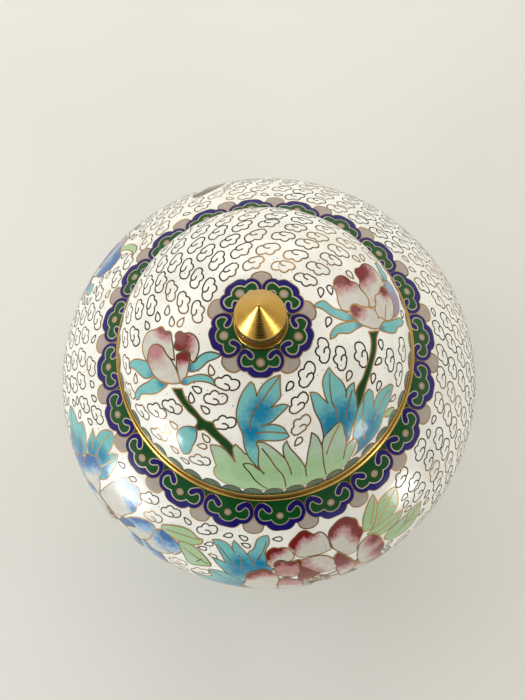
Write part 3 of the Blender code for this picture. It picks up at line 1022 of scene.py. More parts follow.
def front_flower(draw):
    """The open red flower under the front of the lid, its turquoise leaf and the leaves beside it."""
    stalk(draw, [(10, 150), (2, 120), (8, 92), (16, 66), (18, 50)], 3.2)
    for base, angle, size in (((4, 110), 200, 30), ((8, 96), 25, 34), ((0, 124), 160, 26),
                              ((12, 78), 152, 30)):
        leaf(draw, "turquoise", base, angle, size, size * 0.62)
    for base, angle, size in (((6, 104), -30, 26), ((4, 130), 10, 30)):
        leaf(draw, "leaf", base, angle, size, size * 0.6, 12)
    draw("turquoise", [(-22, 37.5, 1), (-19.4, 36.4), (-16.1, 36.7), (-13.3, 38.3), (-8, 42), (-6, 50),
                       (-12, 56), (-20, 58), (-26, 52), (-29.7, 44.7, 1), (-26, 45.5), (-21, 42, 1)],
         hearts=[(-9, 46), (-14, 50)], reach=12,
         veins=[[(-21, 38), (-15, 42), (-9, 48)], [(-29, 45), (-18, 49)]])
    draw("turquoise", [(-19.3, 19.7, 1), (-17.8, 19), (-15.6, 18.8), (-13.9, 19.4), (-12.2, 21.4),
                       (-11.1, 23.9, 1), (-11.7, 21.9), (-11.8, 19.4), (-11.1, 17.7, 1), (-9.7, 19.2),
                       (-8.1, 21.4), (-6.4, 23.6, 1), (-6, 22.2), (-4.4, 20.6), (-3.6, 18.9), (-2.9, 16.1),
                       (-1.1, 14.6), (0.8, 14.2, 1), (1.4, 16.1), (1.1, 18.3), (0.3, 20), (-0.2, 22.5),
                       (0.2, 25), (1, 29.5), (3, 31, 1), (0, 35), (-5, 38), (-8.5, 42, 1), (-12, 39),
                       (-15, 36.7), (-16.7, 33.9), (-18.6, 31.1), (-19.7, 28.6, 1), (-17.8, 28.9),
                       (-14.7, 30, 1), (-16.1, 26.1), (-17.8, 22.2)],
         hearts=[(-9, 30), (-2, 29), (-10, 34), (-5, 32)], reach=9,
         veins=[[(-6.4, 23.6), (-4.4, 27.8), (-3.6, 30)], [(0.3, 17), (-2.2, 24.4), (-3.1, 26.1)],
                [(-9.7, 24.4), (-8.9, 29.4), (-9.2, 33.3)], [(-17.6, 21), (-13.5, 27), (-11.5, 31)]])
    for angle in (168, 128, 88, 48, 12):
        petal(draw, "red", (18, 48), angle, 29, 25, 9)
    for angle in (148, 108, 68, 30):
        petal(draw, "red", (18, 48), angle, 19, 18, 7)
    draw("red", [(36.1, 29.4), (37.8, 28.3), (40, 28.1), (42.2, 29.4), (44, 31.7), (46, 36), (47, 42),
                 (43, 46), (37.8, 44.4), (35.6, 38.9), (35, 33.3)],
         hearts=[(44, 30), (47, 40)], reach=9)
    draw("red", [(22.8, 18.3), (23.3, 16.7), (24.7, 15.3), (26.7, 14.2), (28.9, 14.3), (31.4, 15.8),
                 (33.3, 17.2), (34.2, 18.9), (34.7, 20.6), (36.1, 22.5), (36.9, 24.4), (35.8, 26.7),
                 (35, 29.4), (33.9, 32.8), (31.7, 32.8), (28.9, 31.1), (26.7, 28.3), (25, 26.1),
                 (23.9, 23.3), (23.1, 20.6)],
         hearts=slice(1, 11), reach=7)
    draw("red", [(25.8, 30), (26.9, 28.9), (28.1, 30), (30.6, 33.3), (32.8, 36.7), (34.4, 41.1), (33, 46),
                 (29, 47), (28.3, 44.4), (26.7, 38.9), (26.1, 34.4)], hearts=slice(0, 4), reach=12)
    draw("red", [(8.3, 19.4), (9.2, 17.2), (10.6, 15.8), (12.2, 14.2), (13.6, 13.8), (15.6, 15),
                 (17.2, 16.4), (19.2, 16.1), (21.1, 17.5), (22.2, 19.2), (23.1, 21.4), (23.6, 23.9),
                 (24.4, 25.8, 1), (18.3, 26.7), (15.6, 26.4), (12.8, 26.1), (10.8, 24.4), (10.3, 22.2)],
         hearts=slice(0, 6), reach=6)
    draw("red", [(0.1, 24.4), (0.3, 22.2), (1.4, 20.6), (3.1, 19.7), (4.4, 20.1), (6.1, 19.9), (8.1, 20.6),
                 (9.7, 22.8), (10.3, 25), (9.7, 26.7), (7.8, 27.5), (6.1, 26.4), (4.4, 26.4), (3.1, 27.8),
                 (2.8, 29.4), (1.1, 28.9)], hearts=slice(0, 5), reach=5)
    draw("rose", [(12.5, 27.8), (15.6, 27.2), (18.3, 26.9), (21.1, 27.8), (23.3, 29.4), (25.3, 31.9),
                  (25.8, 34.4), (26.7, 37.8), (23.3, 38.9), (20.6, 38.3), (17.8, 36.1), (15.6, 33.3),
                  (13.3, 31.1), (12.2, 29.4)],
         hearts=[(13, 30), (15, 34), (18, 37)], reach=5)
    draw("red", [(10.6, 27.2, 1), (12.4, 27.2), (13.2, 31), (15.5, 33.8), (17.8, 36.6), (20.4, 38.8, 1),
                 (17, 40.8), (13, 40.5), (12, 36.9), (12.5, 34.4), (11.6, 30)],
         hearts=[(12, 30), (14, 35), (16, 39)], reach=14)
    draw("blush", [(3.6, 27.8), (4.4, 26.7), (6.1, 26.7), (7.8, 27.8), (9.7, 27.5), (11.1, 27.8),
                   (12.2, 31.1), (12.5, 34.4), (10.6, 36.9), (7.8, 36.7), (5, 35.6), (3.6, 33.3),
                   (3.1, 30.6)],
         hearts=slice(0, 6), reach=11)
    draw("red", [(-7.5, 35.6), (-5.6, 33.3), (-3.3, 32.2), (-1.1, 31.1), (1.1, 31.7), (2.2, 33.3),
                 (3.9, 35.6), (4.7, 38.3), (4.2, 42.2), (3.9, 46.1), (4.4, 50), (0, 54), (-6, 50),
                 (-8.9, 44.4), (-8, 42.2), (-7.8, 38.9)],
         hearts=slice(0, 5), reach=6)
    draw("blush", [(5.3, 38.9), (6.1, 37.8), (8.3, 37.8), (10, 40), (12.8, 41.1), (13.9, 43.9), (13, 50),
                   (8, 52), (4.5, 49), (4.3, 44)],
         hearts=slice(0, 5), reach=8)
    for across, down in ((15.6, 41), (18, 42.6), (20.5, 41.4), (23, 43.4), (16.8, 45.2), (20, 46),
                         (23.4, 47.2)):
        draw("bark", [(across - 0.9, down, 1), (across, down - 0.8), (across + 1.6, down + 0.4, 1),
                      (across, down + 0.9)], edge="gold")


def right_leaves(draw):
    """The pale leaves to the right of the red flower."""
    draw("leaf", [(-18, 33.5, 1), (-19.4, 32.5), (-23.9, 32.2), (-28.9, 32.2), (-34.4, 32.8), (-38, 36),
                  (-36, 40), (-31, 42), (-26.1, 41.1), (-22.2, 38.3), (-20, 36.1)],
         hearts=[(-20, 34), (-28, 33)], reach=9,
         veins=[[(-19, 34), (-25, 35.5), (-34, 37.5)], [(-25, 33), (-29, 36)], [(-23, 38), (-28, 37)]])
    draw("leaf", [(-40, 27, 1), (-35, 25.8), (-29, 26.2), (-24.5, 28, 1), (-28, 31), (-34, 32), (-39, 31)],
         hearts=[(-26, 28)], reach=8, veins=[[(-26, 28.2), (-31, 29), (-38, 29)]])
    draw("leaf", [(-25.8, 12.5, 1), (-28.9, 13.9), (-32.2, 16.1), (-35.6, 18.9), (-38.3, 22.2), (-40, 24.5),
                  (-37.2, 25.8), (-31.7, 24), (-29.5, 19.5), (-27.5, 16.5)], hearts=[(-27, 14)], reach=8,
         veins=[[(-27, 14.5), (-31, 18.5), (-36, 23.5)]])
    draw("leaf", [(-18.9, 16.6, 1), (-23.3, 15.8), (-26.7, 16.7), (-29, 18.5), (-33, 22.5),
                  (-37.2, 25.8, 1), (-31.7, 26.1), (-27.2, 25.6), (-23.9, 23.9), (-21.1, 20.8)],
         hearts=[(-20, 17)], reach=9,
         veins=[[(-19.8, 17.4), (-26, 20.4), (-34, 25)], [(-23, 18.6), (-26.5, 17.8)],
                [(-27, 21), (-25, 24)]])


def left_leaves(draw):
    """The pale leaves to the left of the red flower, and a lilac-blue petal behind them."""
    draw("blue", [(-40, 26), (-37.8, 25.8), (-35.8, 27.2), (-33.3, 28.3), (-32.2, 30.6), (-33.9, 34.4),
                  (-36.7, 36.7), (-40, 34)], hearts=[(-40, 24)], reach=14)
    draw("leaf", [(-40, 24.4), (-37.2, 22.2), (-33.3, 20.3), (-30, 19.3), (-26.7, 19.7), (-25, 21.1),
                  (-23.1, 21.1, 1), (-23.3, 22.8), (-25, 24.4), (-28.3, 25.8), (-34, 26.6)],
         hearts=[(-38, 24)], reach=8, veins=[[(-24, 21.8), (-30, 22.6), (-38, 24.6)]])
    draw("leaf", [(-33, 27.4, 1), (-28.3, 25.8), (-25.6, 26.7), (-22.8, 29.4), (-20.8, 32.8, 1),
                  (-20.8, 34.4, 1), (-23.3, 35.6), (-26.1, 36.7), (-28.9, 37.8), (-31.5, 33)],
         hearts=[(-29, 34)], reach=8,
         veins=[[(-21.5, 33.4), (-26.5, 31.4), (-31.5, 28.6)], [(-24, 31.4), (-26.5, 34.6)]])


def left_flower(draw):
    """The open blue flower at the left and its turquoise leaves."""
    stalk(draw, [(8, 150), (16, 122), (10, 96), (12, 70), (14, 52)], 3.2)
    for base, angle, size in (((14, 112), -15, 32), ((11, 92), 200, 32), ((16, 126), 170, 28),
                              ((12, 80), 20, 30)):
        leaf(draw, "turquoise", base, angle, size, size * 0.62)
    leaf(draw, "leaf", (14, 104), 150, 26, 15, 12)
    draw("turquoise", [(-8.4, 11.9, 1), (-10.7, 14.4), (-11.8, 18.3), (-10.9, 21.7, 1), (-15.1, 21.1, 1),
                       (-13.7, 24.4), (-12.9, 27.2), (-10.7, 29.7, 1), (-8, 32), (0, 33), (3.2, 27.8),
                       (2.9, 23.3), (2.1, 20), (1, 16.7), (-0.4, 14.7, 1), (-1.8, 16.1), (-3.2, 18.9, 1),
                       (-4, 16.1), (-5.7, 12.8)],
         hearts=[(-9, 27), (-4, 23), (1, 25), (-4, 30)], reach=7,
         veins=[[(-8.2, 13), (-8, 20), (-5, 28)], [(-0.6, 15.6), (-0.6, 21), (-2, 27)],
                [(-14.4, 21.4), (-9, 26)]])
    draw("turquoise", [(-20.9, 26.7, 1), (-19.6, 26.1), (-16.2, 26.7), (-13.4, 28.3), (-10.7, 31.1),
                       (-10.9, 35.6), (-11.8, 38.9), (-14, 42.2), (-17.3, 43.9), (-20.7, 43.9),
                       (-23.4, 41.1), (-25.7, 38.3), (-28.4, 37.2), (-31.2, 34.4, 1), (-29, 32.2),
                       (-25.7, 30.8), (-21.8, 30.3, 1)],
         hearts=[(-14, 36), (-19, 40)], reach=9,
         veins=[[(-20, 27), (-16, 32), (-13, 39)], [(-30, 34), (-18, 38)]])
    for angle in (176, 140, 100, 60, 22):
        petal(draw, "blue", (14, 46), angle, 30, 26, 9)
    draw("blue", [(-5.7, 26.4), (-7.9, 28.9), (-10.1, 32.2), (-9.6, 34.4), (-7.3, 38.3), (-6.2, 42.2),
                  (0, 46), (5, 44), (4.3, 38.9), (2.7, 34.4), (0.4, 31.1), (-0.1, 28.3), (-2.9, 27.8)],
         hearts=slice(0, 4), reach=8)
    draw("blue", [(30.7, 26.7), (32.7, 25.7), (34.9, 26.1), (36.6, 28.9), (40, 31.1), (41, 37), (36, 42),
                  (30, 38), (29.4, 31)], hearts=[(33, 24), (38, 28)], reach=11)
    draw("blue", [(19.9, 32.8), (21.6, 30), (23.8, 27.8), (26, 26.7), (28.8, 27.2), (29.9, 30), (31, 36),
                  (28, 42), (22, 42), (20, 38)],
         hearts=[(20, 25)], reach=14)
    draw("blue", [(6.8, 19.4), (7.9, 17.8), (9.3, 17.1), (11, 17.7), (12.1, 17.1), (14.3, 16.9),
                  (15.7, 18.1), (16.3, 19.4), (18.2, 20.6), (19.1, 22.2), (18.8, 23.9), (19.6, 27.2),
                  (19.3, 30), (18.5, 32.2), (17, 38), (10, 41), (5.2, 38.9), (4.9, 34.4), (5.2, 30),
                  (5.7, 25.6), (6.6, 22.2)],
         hearts=slice(0, 11), reach=7)
    draw("blue", [(18.8, 36.1), (21, 34.6), (24.1, 35.6), (22.6, 38), (21, 41.1), (18.8, 41.7), (17.7, 38.9)],
         hearts=[(20, 37), (20, 40)], reach=9)
    for angle in (150, 110, 70, 30):
        petal(draw, "blue", (14, 44), angle, 18, 17, 6)
    for across, down in ((11, 42.5), (13.4, 41.6), (15.8, 42.8), (12.2, 45), (14.8, 45.4)):
        draw("bark", [(across - 0.9, down, 1), (across, down - 0.8), (across + 1.4, down + 0.4, 1),
                      (across, down + 0.9)], edge="gold")


def back_flower(draw):
    """The blue flower behind the left side, its tendril and its leaf."""
    stalk(draw, [(-6, 150), (-14, 124), (-8, 96), (-4, 72), (-2, 54)], 3.2)
    for base, angle, size in (((-10, 112), 190, 32), ((-9, 98), -20, 32), ((-12, 128), 15, 28),
                              ((-6, 82), 205, 28)):
        leaf(draw, "turquoise", base, angle, size, size * 0.62)
    leaf(draw, "leaf", (-11, 118), 40, 26, 15, 12)
    draw("leaf", [(-2.5, 16.6, 1), (-5, 16.4), (-6.9, 17.8), (-7.8, 20.6), (-7.8, 23.3), (-6.7, 26.7),
                  (-5.6, 28.3, 1), (-2.2, 27.8, 1), (-3.3, 26.1), (-4.4, 23.3), (-4.6, 20), (-3.9, 17.2)])
    draw("turquoise", [(15, 31.1), (16.4, 30.3), (18.9, 30.6), (19.7, 33.3), (18.4, 37), (17.2, 41, 1),
                       (14.4, 40), (14.6, 35)], hearts=[(16, 36)], reach=5)
    for angle in (174, 132, 90, 48, 8):
        petal(draw, "blue", (-1, 48), angle, 24, 21, 8)
    draw("blue", [(-2.2, 26.7), (-1.7, 24.4), (0, 23.8), (4.4, 23.9), (6.4, 24.4), (6.9, 25.8), (9.4, 27.2),
                  (10.6, 29.4), (10.8, 32.8), (11.1, 38.9), (8, 46), (-8, 48), (-14.4, 46), (-13.6, 40),
                  (-12.5, 35.6), (-11.1, 33.3), (-8.3, 31.1), (-4, 29)],
         hearts=[(-1.7, 27), (1.7, 26), (6, 27), (9, 30)], reach=8)
    draw("mauve", [(-9, 33), (-5, 31.6), (0, 31), (4, 32.4), (6.4, 36), (5, 42), (-1, 45), (-8, 43),
                   (-11, 38)],
         hearts=[(0, 32)], reach=8)
    for angle in (160, 110, 60, 20):
        petal(draw, "blue", (-1, 46), angle, 15, 14, 6)
    draw("blue", [(-7, 41), (-1, 38.6), (5, 41), (4, 47), (-1, 49.4), (-6, 47)], hearts=slice(0, 3), reach=8)
    draw("bark", [(-3.4, 43.6), (-1, 42.4), (1.6, 43.4), (1.8, 45.6), (-0.6, 46.8), (-3.2, 45.8)],
         edge="gold")


def right_spray(draw):
    """A spray with two buds low on the right, and leaves at its foot."""
    stalk(draw, [(0, 150), (-10, 128), (-6, 106), (-14, 86), (-16, 76)], 3.0)
    stalk(draw, [(-5, 112), (6, 98), (14, 88), (17, 80)], 2.2)
    for base, angle, size in (((-8, 122), 205, 30), ((-6, 112), -12, 30), ((-3, 134), 20, 28),
                              ((-10, 98), 170, 26)):
        leaf(draw, "turquoise", base, angle, size, size * 0.62)
    leaf(draw, "leaf", (-5, 140), 165, 32, 18, 12)
    leaf(draw, "leaf", (0, 128), -40, 26, 15, 12)
    for base, lean in (((-16, 77), -96), ((17, 80), -78)):
        for turn in (-34, 34, 0):
            petal(draw, "red", base, lean + turn, 15 - abs(turn) / 17, 11, 6)
        for turn in (-72, 72, -28, 28):
            leaf(draw, "turquoise", base, lean + turn, 11, 5, 4)


def back_branch(draw):
    """The end of a bough behind, and the branch that it belongs to."""
    stalk(draw, [(4, 150), (-6, 120), (4, 88), (-1, 62), (-3.4, 44)], 6.0, "bark")
    draw("bark", [(-6.3, 46, 1), (-7.6, 40), (-6.6, 34.6), (-3, 30.6), (1.4, 28), (5.4, 27), (7.4, 28.8),
                  (6.8, 32), (3.4, 33.6), (0.6, 36.4), (-0.6, 41), (-0.5, 46, 1)])
    leaf(draw, "turquoise", (-6, 50), 205, 22, 13)
    leaf(draw, "leaf", (0, 54), -20, 22, 13, 12)
    for base, angle, size in (((-2, 104), 205, 30), ((2, 94), -25, 30), ((-5, 122), 160, 28),
                              ((2, 76), 200, 26), ((0, 66), -30, 24)):
        leaf(draw, "turquoise", base, angle, size, size * 0.6)
    for base, angle, size in (((0, 112), -5, 28), ((-4, 132), 12, 28)):
        leaf(draw, "leaf", base, angle, size, size * 0.58, 12)


# Shells and turned brass, modelled with Blender's own tools

def start_clean():
    """Nothing is selected, so that an operator acts on the new piece alone."""
    if bpy.context.mode != "OBJECT":
        bpy.ops.object.mode_set(mode="OBJECT")
    bpy.ops.object.select_all(action="DESELECT")


def pick(piece, wanted):
    """Selects the vertices for which wanted is true, in edit mode."""
    shape = bmesh.from_edit_mesh(piece.data)
    for vertex in shape.verts:
        vertex.select = wanted(vertex.co)
    shape.select_flush_mode()
    bmesh.update_edit_mesh(piece.data)


def finish_piece(piece):
    """Puts the piece's place into its mesh and shades it smooth up to its sharp edges."""
    bpy.ops.object.transform_apply(location=True, rotation=True, scale=True)
    bpy.ops.object.shade_smooth_by_angle(angle=math.radians(35))
    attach(piece, BODY)


def spheroid(name, radius, rise, drop, centre, top, bottom, wall, fill_bottom):
    """A hollow shell: a ball stretched up and down, cut flat at top and bottom, and given its wall."""
    start_clean()
    bpy.ops.mesh.primitive_uv_sphere_add(segments=256, ring_count=128, radius=radius, location=(0, 0, centre))
    piece = bpy.context.object
    piece.name = name
    bpy.ops.object.mode_set(mode="EDIT")
    bpy.ops.mesh.select_mode(type="VERT")
    hair = radius * 1e-4
    pick(piece, lambda co: co.z > hair)
    bpy.ops.transform.resize(value=(1, 1, rise / radius), center_override=(0, 0, centre))
    pick(piece, lambda co: co.z < -hair)
    bpy.ops.transform.resize(value=(1, 1, drop / radius), center_override=(0, 0, centre))
    if top is not None:
        bpy.ops.mesh.select_all(action="SELECT")
        bpy.ops.mesh.bisect(plane_co=(0, 0, top), plane_no=(0, 0, 1), clear_outer=True)
    bpy.ops.mesh.select_all(action="SELECT")
    bpy.ops.mesh.bisect(plane_co=(0, 0, bottom), plane_no=(0, 0, 1), clear_inner=True, use_fill=fill_bottom)
    bpy.ops.object.mode_set(mode="OBJECT")
    shell = piece.modifiers.new("Wall", "SOLIDIFY")
    shell.thickness = wall
    shell.offset = -1
    shell.use_even_offset = True
    shell.use_rim = True
    bpy.ops.object.modifier_apply(modifier=shell.name)
    finish_piece(piece)
    return piece


def paint_outside(piece, ground, lining, above):
    """The ground on the faces that look away from the axis or up, the lining on the rest."""
    mesh = piece.data
    mesh.materials.append(ground)
    mesh.materials.append(lining)
    middle = Vector((0, 0, above))
    for face in mesh.polygons:
        outward = face.normal.dot(face.center - middle) > 0 and face.normal.z > -0.985
        face.material_index = 0 if outward else 1


def turned(name, outline, segments):
    """A solid turned about the axis from a closed outline of (radius, height) in metres."""
    start_clean()
    bpy.ops.mesh.primitive_plane_add(size=0.01, location=(0, 0, 0))
    piece = bpy.context.object
    piece.name = name
    bpy.ops.object.mode_set(mode="EDIT")
    bpy.ops.mesh.select_mode(type="VERT")
    bpy.ops.mesh.merge(type="CENTER")
    bpy.ops.transform.translate(value=(outline[0][0], 0, outline[0][1]))
    closed = outline + [outline[0]]
    for (r0, z0), (r1, z1) in zip(closed, closed[1:]):
        if r0 == 0 and r1 == 0:
            continue
        bpy.ops.mesh.extrude_region_move(TRANSFORM_OT_translate={"value": (r1 - r0, 0, z1 - z0)})
    bpy.ops.mesh.select_all(action="SELECT")
    bpy.ops.mesh.remove_doubles(threshold=1e-6)
    bpy.ops.mesh.spin(steps=segments, angle=math.tau, center=(0, 0, 0), axis=(0, 0, 1))
    bpy.ops.mesh.select_all(action="SELECT")
    bpy.ops.mesh.remove_doubles(threshold=1e-6)
    bpy.ops.mesh.normals_make_consistent(inside=False)
    bpy.ops.object.mode_set(mode="OBJECT")
    finish_piece(piece)
    return piece


def round_corner(radius, height, size, start, end, steps=6):
    """Points of a small round about a centre, with angles in degrees from the outward direction."""
    points = []
    for step in range(steps + 1):
        angle = math.radians(start + (end - start) * step / steps)
        points.append((radius + size * math.cos(angle), height + size * math.sin(angle)))
    return points


def stands_for(piece, node, metal=None):
    """The piece takes a solid's place and its finish."""
    if metal:
        piece.data.materials.append(metal)
    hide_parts(node)


class JAR_OT_vessel(bpy.types.Operator):
    """Model the hollow vessel"""
    bl_idname = "jar.vessel"
    bl_label = "Vessel"
    bl_options = {"REGISTER", "UNDO"}

    def execute(self, context):
        low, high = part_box("jar_body")
        size = sizes()
        piece = spheroid("vessel", size.belly_radius, shoulder_rise(), underbelly_drop(), size.belly_height,
                         high.z, low.z, size.body_wall, True)
        paint_outside(piece, plain_enamel("white_ground", "ground", "petal", 0.135, 0.30),
                      plain_enamel("vessel_lining", "lining", "deep_teal", 0.06, 0.30), size.belly_height)
        stands_for(piece, "jar_body")
        return {"FINISHED"}


class JAR_OT_lid(bpy.types.Operator):
    """Model the lid's hollow dome"""
    bl_idname = "jar.lid"
    bl_label = "Lid"
    bl_options = {"REGISTER", "UNDO"}

    def execute(self, context):
        half_width, half_height, centre = lid_ellipse()
        piece = spheroid("lid_dome", half_width, half_height, half_height, centre, None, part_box("lid")[0].z,
                         sizes().lid_wall, False)
        paint_outside(piece, plain_enamel("lid_ground", "ground", "petal", 0.135, 0.30),
                      plain_enamel("lid_lining", "lining", "deep_teal", 0.06, 0.30), centre)
        stands_for(piece, "lid")
        return {"FINISHED"}


class JAR_OT_rings(bpy.types.Operator):
    """Turn the mouth ring, the lid's rim and the foot ring"""
    bl_idname = "jar.rings"
    bl_label = "Brass rings"
    bl_options = {"REGISTER", "UNDO"}

    def execute(self, context):
        size = sizes()
        lid_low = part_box("lid")[0].z
        half_width, half_height, centre = lid_ellipse()
        inner_height = half_height - size.lid_wall
        rise = (lid_low - centre) / inner_height
        rim_inside = (half_width - size.lid_wall) * math.sqrt(1 - rise ** 2)

        low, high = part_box("mouth_ring")
        seat = high.z - size.neck_height
        neck = rim_inside - size.lid_play
        mouth = neck - size.neck_wall
        edge = 0.0006
        outline = [(mouth, high.z - edge)] + round_corner(mouth + edge, high.z - edge, edge, 180, 90, 4)
        outline += round_corner(neck - edge, high.z - edge, edge, 90, 0, 4) + [(neck, seat)]
        outline += round_corner(high.x - size.bead_radius, seat - size.bead_radius, size.bead_radius, 90, 0)
        groove_top, groove_bottom, groove_depth, groove_slope = seat - 0.0045, seat - 0.0058, 0.0005, 0.0004
        outline += [(high.x, groove_top), (high.x - groove_depth, groove_top - groove_slope),
                    (high.x - groove_depth, groove_bottom + groove_slope), (high.x, groove_bottom)]
        outline += [(high.x, low.z), (mouth, low.z)]
        ring = turned("mouth_band", outline, RING_SEGMENTS)
        stands_for(ring, "mouth_ring", brass_metal("mouth_brass", 0.24, 0.0006, 0.3))

        low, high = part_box("lid_rim")
        half = (high.z - low.z) / 2
        outline = round_corner(high.x - half, low.z + half, half, 90, -90, 10)
        outline += [(rim_inside, low.z), (rim_inside, high.z)]
        rim = turned("lid_band", outline, RING_SEGMENTS)
        stands_for(rim, "lid_rim", brass_metal("rim_brass", 0.22, 0.0006, 0.3))

        low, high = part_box("foot_ring")
        inner = high.x - size.foot_wall
        outline = [(high.x - 0.0004, high.z)] + round_corner(high.x - edge, edge, edge, 0, -90, 4)
        outline += round_corner(inner + edge, edge, edge, -90, -180, 4) + [(inner, high.z)]
        foot = turned("foot_band", outline, RING_SEGMENTS)
        stands_for(foot, "foot_ring", brass_metal("foot_brass", 0.32, 0.0008, 0.2))
        return {"FINISHED"}


class JAR_OT_finial(bpy.types.Operator):
    """Turn the knob on the lid"""
    bl_idname = "jar.finial"
    bl_label = "Finial"
    bl_options = {"REGISTER", "UNDO"}

    def execute(self, context):
        size = sizes()
        low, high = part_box("finial")
        dome_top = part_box("lid")[1].z
        seam = 0.0003
        lip_top = dome_top + seam + size.finial_lip_height
        groove_top = lip_top + size.finial_groove
        drum_radius, groove_depth, edge = size.finial_radius, 0.0005, 0.00045
        tip_radius, soft, hair = 0.0007, 0.0005, 0.0001
        slope = math.atan2(drum_radius, size.finial_cone)
        tip_centre = high.z - tip_radius
        drum_top = tip_centre + tip_radius / math.sin(slope) - size.finial_cone
        lip = round_corner(high.x - edge, lip_top - edge, edge, 90, 0, 5)
        outline = [(0.0, high.z)] + round_corner(0, tip_centre, tip_radius, 82, math.degrees(slope), 5)
        outline += [(drum_radius - soft * math.sin(slope), drum_top + soft * math.cos(slope)),
                    (drum_radius - 1.2 * hair, drum_top + hair), (drum_radius, drum_top - 4 * hair)]
        outline += [(drum_radius, groove_top + 2 * hair), (drum_radius - hair, groove_top)]
        outline += [(drum_radius - groove_depth, groove_top - hair), (drum_radius - groove_depth, lip_top)]
        outline += lip + [(high.x, low.z), (0.0, dome_top + seam)]
        piece = turned("finial_knob", outline, 128)
        stands_for(piece, "finial", brass_metal("finial_brass", 0.24, 0.00035, 0.55))
        return {"FINISHED"}


class JAR_OT_lid_enamel(bpy.types.Operator):
    """Lay the lid's cells and wires"""
    bl_idname = "jar.lid_enamel"
    bl_label = "Lid enamel"
    bl_options = {"REGISTER", "UNDO"}

    def execute(self, context):
        drawing = Drawing(lid_face())
        rosette(drawing)
        draw = drawing.pen(drawing.face.pressed())
        for motif in (lid_leaves, lid_middle_leaf, lid_stems, lid_left_bud, lid_right_bud):
            motif(draw)
        edge = drawing.face.ways[-1]
        scallops(drawing, 46, edge - 0.1, edge - 6.2)
        drawing.hoop(edge - 0.2, "dark")
        drawing.clouds(first=20.3, last=53.0, row_pitch=5.85, pitch=8.5, length=7.4, tallness=1.16, seed=7)
        drawing.cells.piece("lid_inlay", jar_enamels(), "enamel")
        drawing.wires.piece("lid_wires", jar_wires(), "brass")
        return {"FINISHED"}


class JAR_OT_body_enamel(bpy.types.Operator):
    """Lay the vessel's cells and wires"""
    bl_idname = "jar.body_enamel"
    bl_label = "Vessel enamel"
    bl_options = {"REGISTER", "UNDO"}

    def execute(self, context):
        drawing = Drawing(body_face())
        mouth_border(drawing)
        gardens = ((right_spray, 35), (back_branch, 108), (back_flower, 145), (left_flower, -145),
                   (left_leaves, -90), (right_leaves, -30), (front_flower, -90))
        for motif, azimuth in gardens:
            motif(drawing.pen(drawing.face.wrapped(azimuth)))
        foot_way = drawing.face.ways[-1] - 0.1
        scallops(drawing, 58, foot_way, foot_way - 6.5)
        drawing.clouds(first=15.9, last=foot_way - 8.5, row_pitch=6.3, pitch=9.2,
                       length=sizes().cloud_length / MM, tallness=1.26, seed=3)
        drawing.cells.piece("body_inlay", jar_enamels(), "enamel")
        drawing.wires.piece("body_wires", jar_wires(), "brass")
        return {"FINISHED"}


def soft_light(name, place, target, width, height, power, warmth):
    """A rectangular studio light that faces its target."""
    light = bpy.data.lights.new(name, "AREA")
    light.shape = "RECTANGLE"
    light.size, light.size_y = width, height
    light.energy = power
    light.color = warmth
    lamp = bpy.data.objects.new(name, light)
    lamp.location = place
    lamp.rotation_euler = (Vector(target) - Vector(place)).to_track_quat("-Z", "Y").to_euler()
    bpy.context.scene.collection.objects.link(lamp)


def around(azimuth, distance, height):
    """A place at an azimuth in degrees, a distance from the axis and a height."""
    return (distance * math.cos(math.radians(azimuth)), distance * math.sin(math.radians(azimuth)), height)


def reflected_card(name, place, turn, size, glow):
    """A card that only the gloss of the jar sees, to keep its colours deep."""
    start_clean()
    bpy.ops.mesh.primitive_plane_add(size=1.0, location=place, rotation=turn)
    card = bpy.context.object
    card.name = name
    card.scale = (*size, 1)
    bpy.ops.object.transform_apply(location=True, rotation=True, scale=True)
    cloth = Finish(name + "_cloth", Roughness=1.0, Emission_Strength=1.0, Specular_IOR_Level=0.0)
    soft = cloth.span(cloth.noise(0.4, 2.0), 0.3, 0.7, 0.0, 1.0)
    cloth.feed(cloth.shader.inputs["Base Color"], (0.0, 0.0, 0.0, 1.0))
    cloth.feed(cloth.shader.inputs["Emission Color"], cloth.mix(soft, (glow, glow, glow * 0.96, 1.0),
                                                                (glow * 0.8, glow * 0.8, glow * 0.76, 1.0)))
    card.data.materials.append(cloth.material)
    card.visible_camera = False
    card.visible_diffuse = False
    card.visible_shadow = False
    card.visible_transmission = False


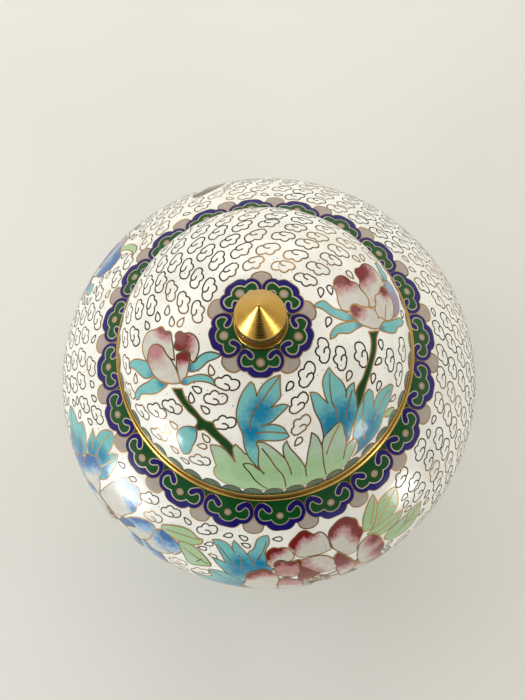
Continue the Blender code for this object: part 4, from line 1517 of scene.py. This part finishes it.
class JAR_OT_stage(bpy.types.Operator):
    """Set the floor, the lights and the camera"""
    bl_idname = "jar.stage"
    bl_label = "Stage"
    bl_options = {"REGISTER", "UNDO"}

    def execute(self, context):
        start_clean()
        bpy.ops.mesh.primitive_plane_add(size=6.0, location=(0, 0, -0.0002))
        floor = bpy.context.object
        floor.name = "floor"
        paper = Finish("floor_paper", Roughness=0.6)
        paper.colour(paper.mix(paper.span(paper.noise(0.3, 2.0), 0.3, 0.7), (*srgb(221, 219, 210), 1),
                               (*srgb(228, 226, 218), 1)))
        floor.data.materials.append(paper.material)

        reflected_card("dark_card", (0, -0.62, 0.40), (math.radians(90), 0, 0), (0.40, 0.80), 0.02)
        reflected_card("ceiling", (0, 0, 1.3), (math.pi, 0, 0), (5.0, 5.0), 0.22)

        middle = (0, 0, 0.09)
        soft_light("window", around(-145, 0.95, 0.15), middle, 0.30, 0.26, power=3.6,
                   warmth=(0.90, 0.95, 1.0))
        soft_light("window_right", around(-38, 1.2, 0.20), middle, 0.22, 0.36, power=2.0,
                   warmth=(1.0, 0.98, 0.94))
        soft_light("sky_left", around(150, 1.2, 1.1), middle, 0.9, 0.9, power=5.5, warmth=(1.0, 0.99, 0.97))
        soft_light("sky_right", around(35, 1.2, 1.2), middle, 0.9, 0.9, power=4.0, warmth=(1.0, 0.98, 0.95))
        soft_light("sky_back", around(95, 1.3, 1.0), (0, 0.25, 0), 1.2, 0.7, power=7.0,
                   warmth=(1.0, 0.98, 0.95))

        world = bpy.data.worlds.new("room")
        world.use_nodes = True
        room = world.node_tree.nodes["Background"]
        room.inputs["Color"].default_value = (1.0, 0.985, 0.955, 1.0)
        room.inputs["Strength"].default_value = 0.57
        context.scene.world = world
        context.scene.view_settings.view_transform = "Standard"

        lens = bpy.data.cameras.new("camera")
        lens.lens = 27.0
        lens.sensor_width = 36.0
        camera = bpy.data.objects.new("camera", lens)
        camera.location = (0.00489, -0.04055, 0.32073)
        camera.rotation_euler = [math.radians(angle) for angle in (12.264, 1.72, 0.0)]
        context.scene.collection.objects.link(camera)
        context.scene.camera = camera
        return {"FINISHED"}


class JAR_PT_panel(bpy.types.Panel):
    """The jar's steps and sizes in the sidebar"""
    bl_label = "Ginger Jar"
    bl_idname = "JAR_PT_panel"
    bl_space_type = "VIEW_3D"
    bl_region_type = "UI"
    bl_category = "Ginger Jar"

    def draw(self, context):
        for step in STEPS:
            self.layout.operator(step.bl_idname)
        for group in (context.scene.jar_sizes, context.scene.jar_colours):
            box = self.layout.box()
            for name in group.__annotations__:
                box.prop(group, name)


STEPS = (JAR_OT_vessel, JAR_OT_lid, JAR_OT_rings, JAR_OT_finial, JAR_OT_lid_enamel, JAR_OT_body_enamel,
         JAR_OT_stage)
CLASSES = (JarSizes, JarColours, *STEPS, JAR_PT_panel)


def register():
    for kind in CLASSES:
        bpy.utils.register_class(kind)
    bpy.types.Scene.jar_sizes = bpy.props.PointerProperty(type=JarSizes)
    bpy.types.Scene.jar_colours = bpy.props.PointerProperty(type=JarColours)


def unregister():
    del bpy.types.Scene.jar_colours
    del bpy.types.Scene.jar_sizes
    for kind in reversed(CLASSES):
        bpy.utils.unregister_class(kind)


def main():
    register()
    bpy.ops.jar.vessel()
    bpy.ops.jar.lid()
    bpy.ops.jar.rings()
    bpy.ops.jar.finial()
    bpy.ops.jar.lid_enamel()
    bpy.ops.jar.body_enamel()
    bpy.ops.jar.stage()


if __name__ == "__main__":
    main()
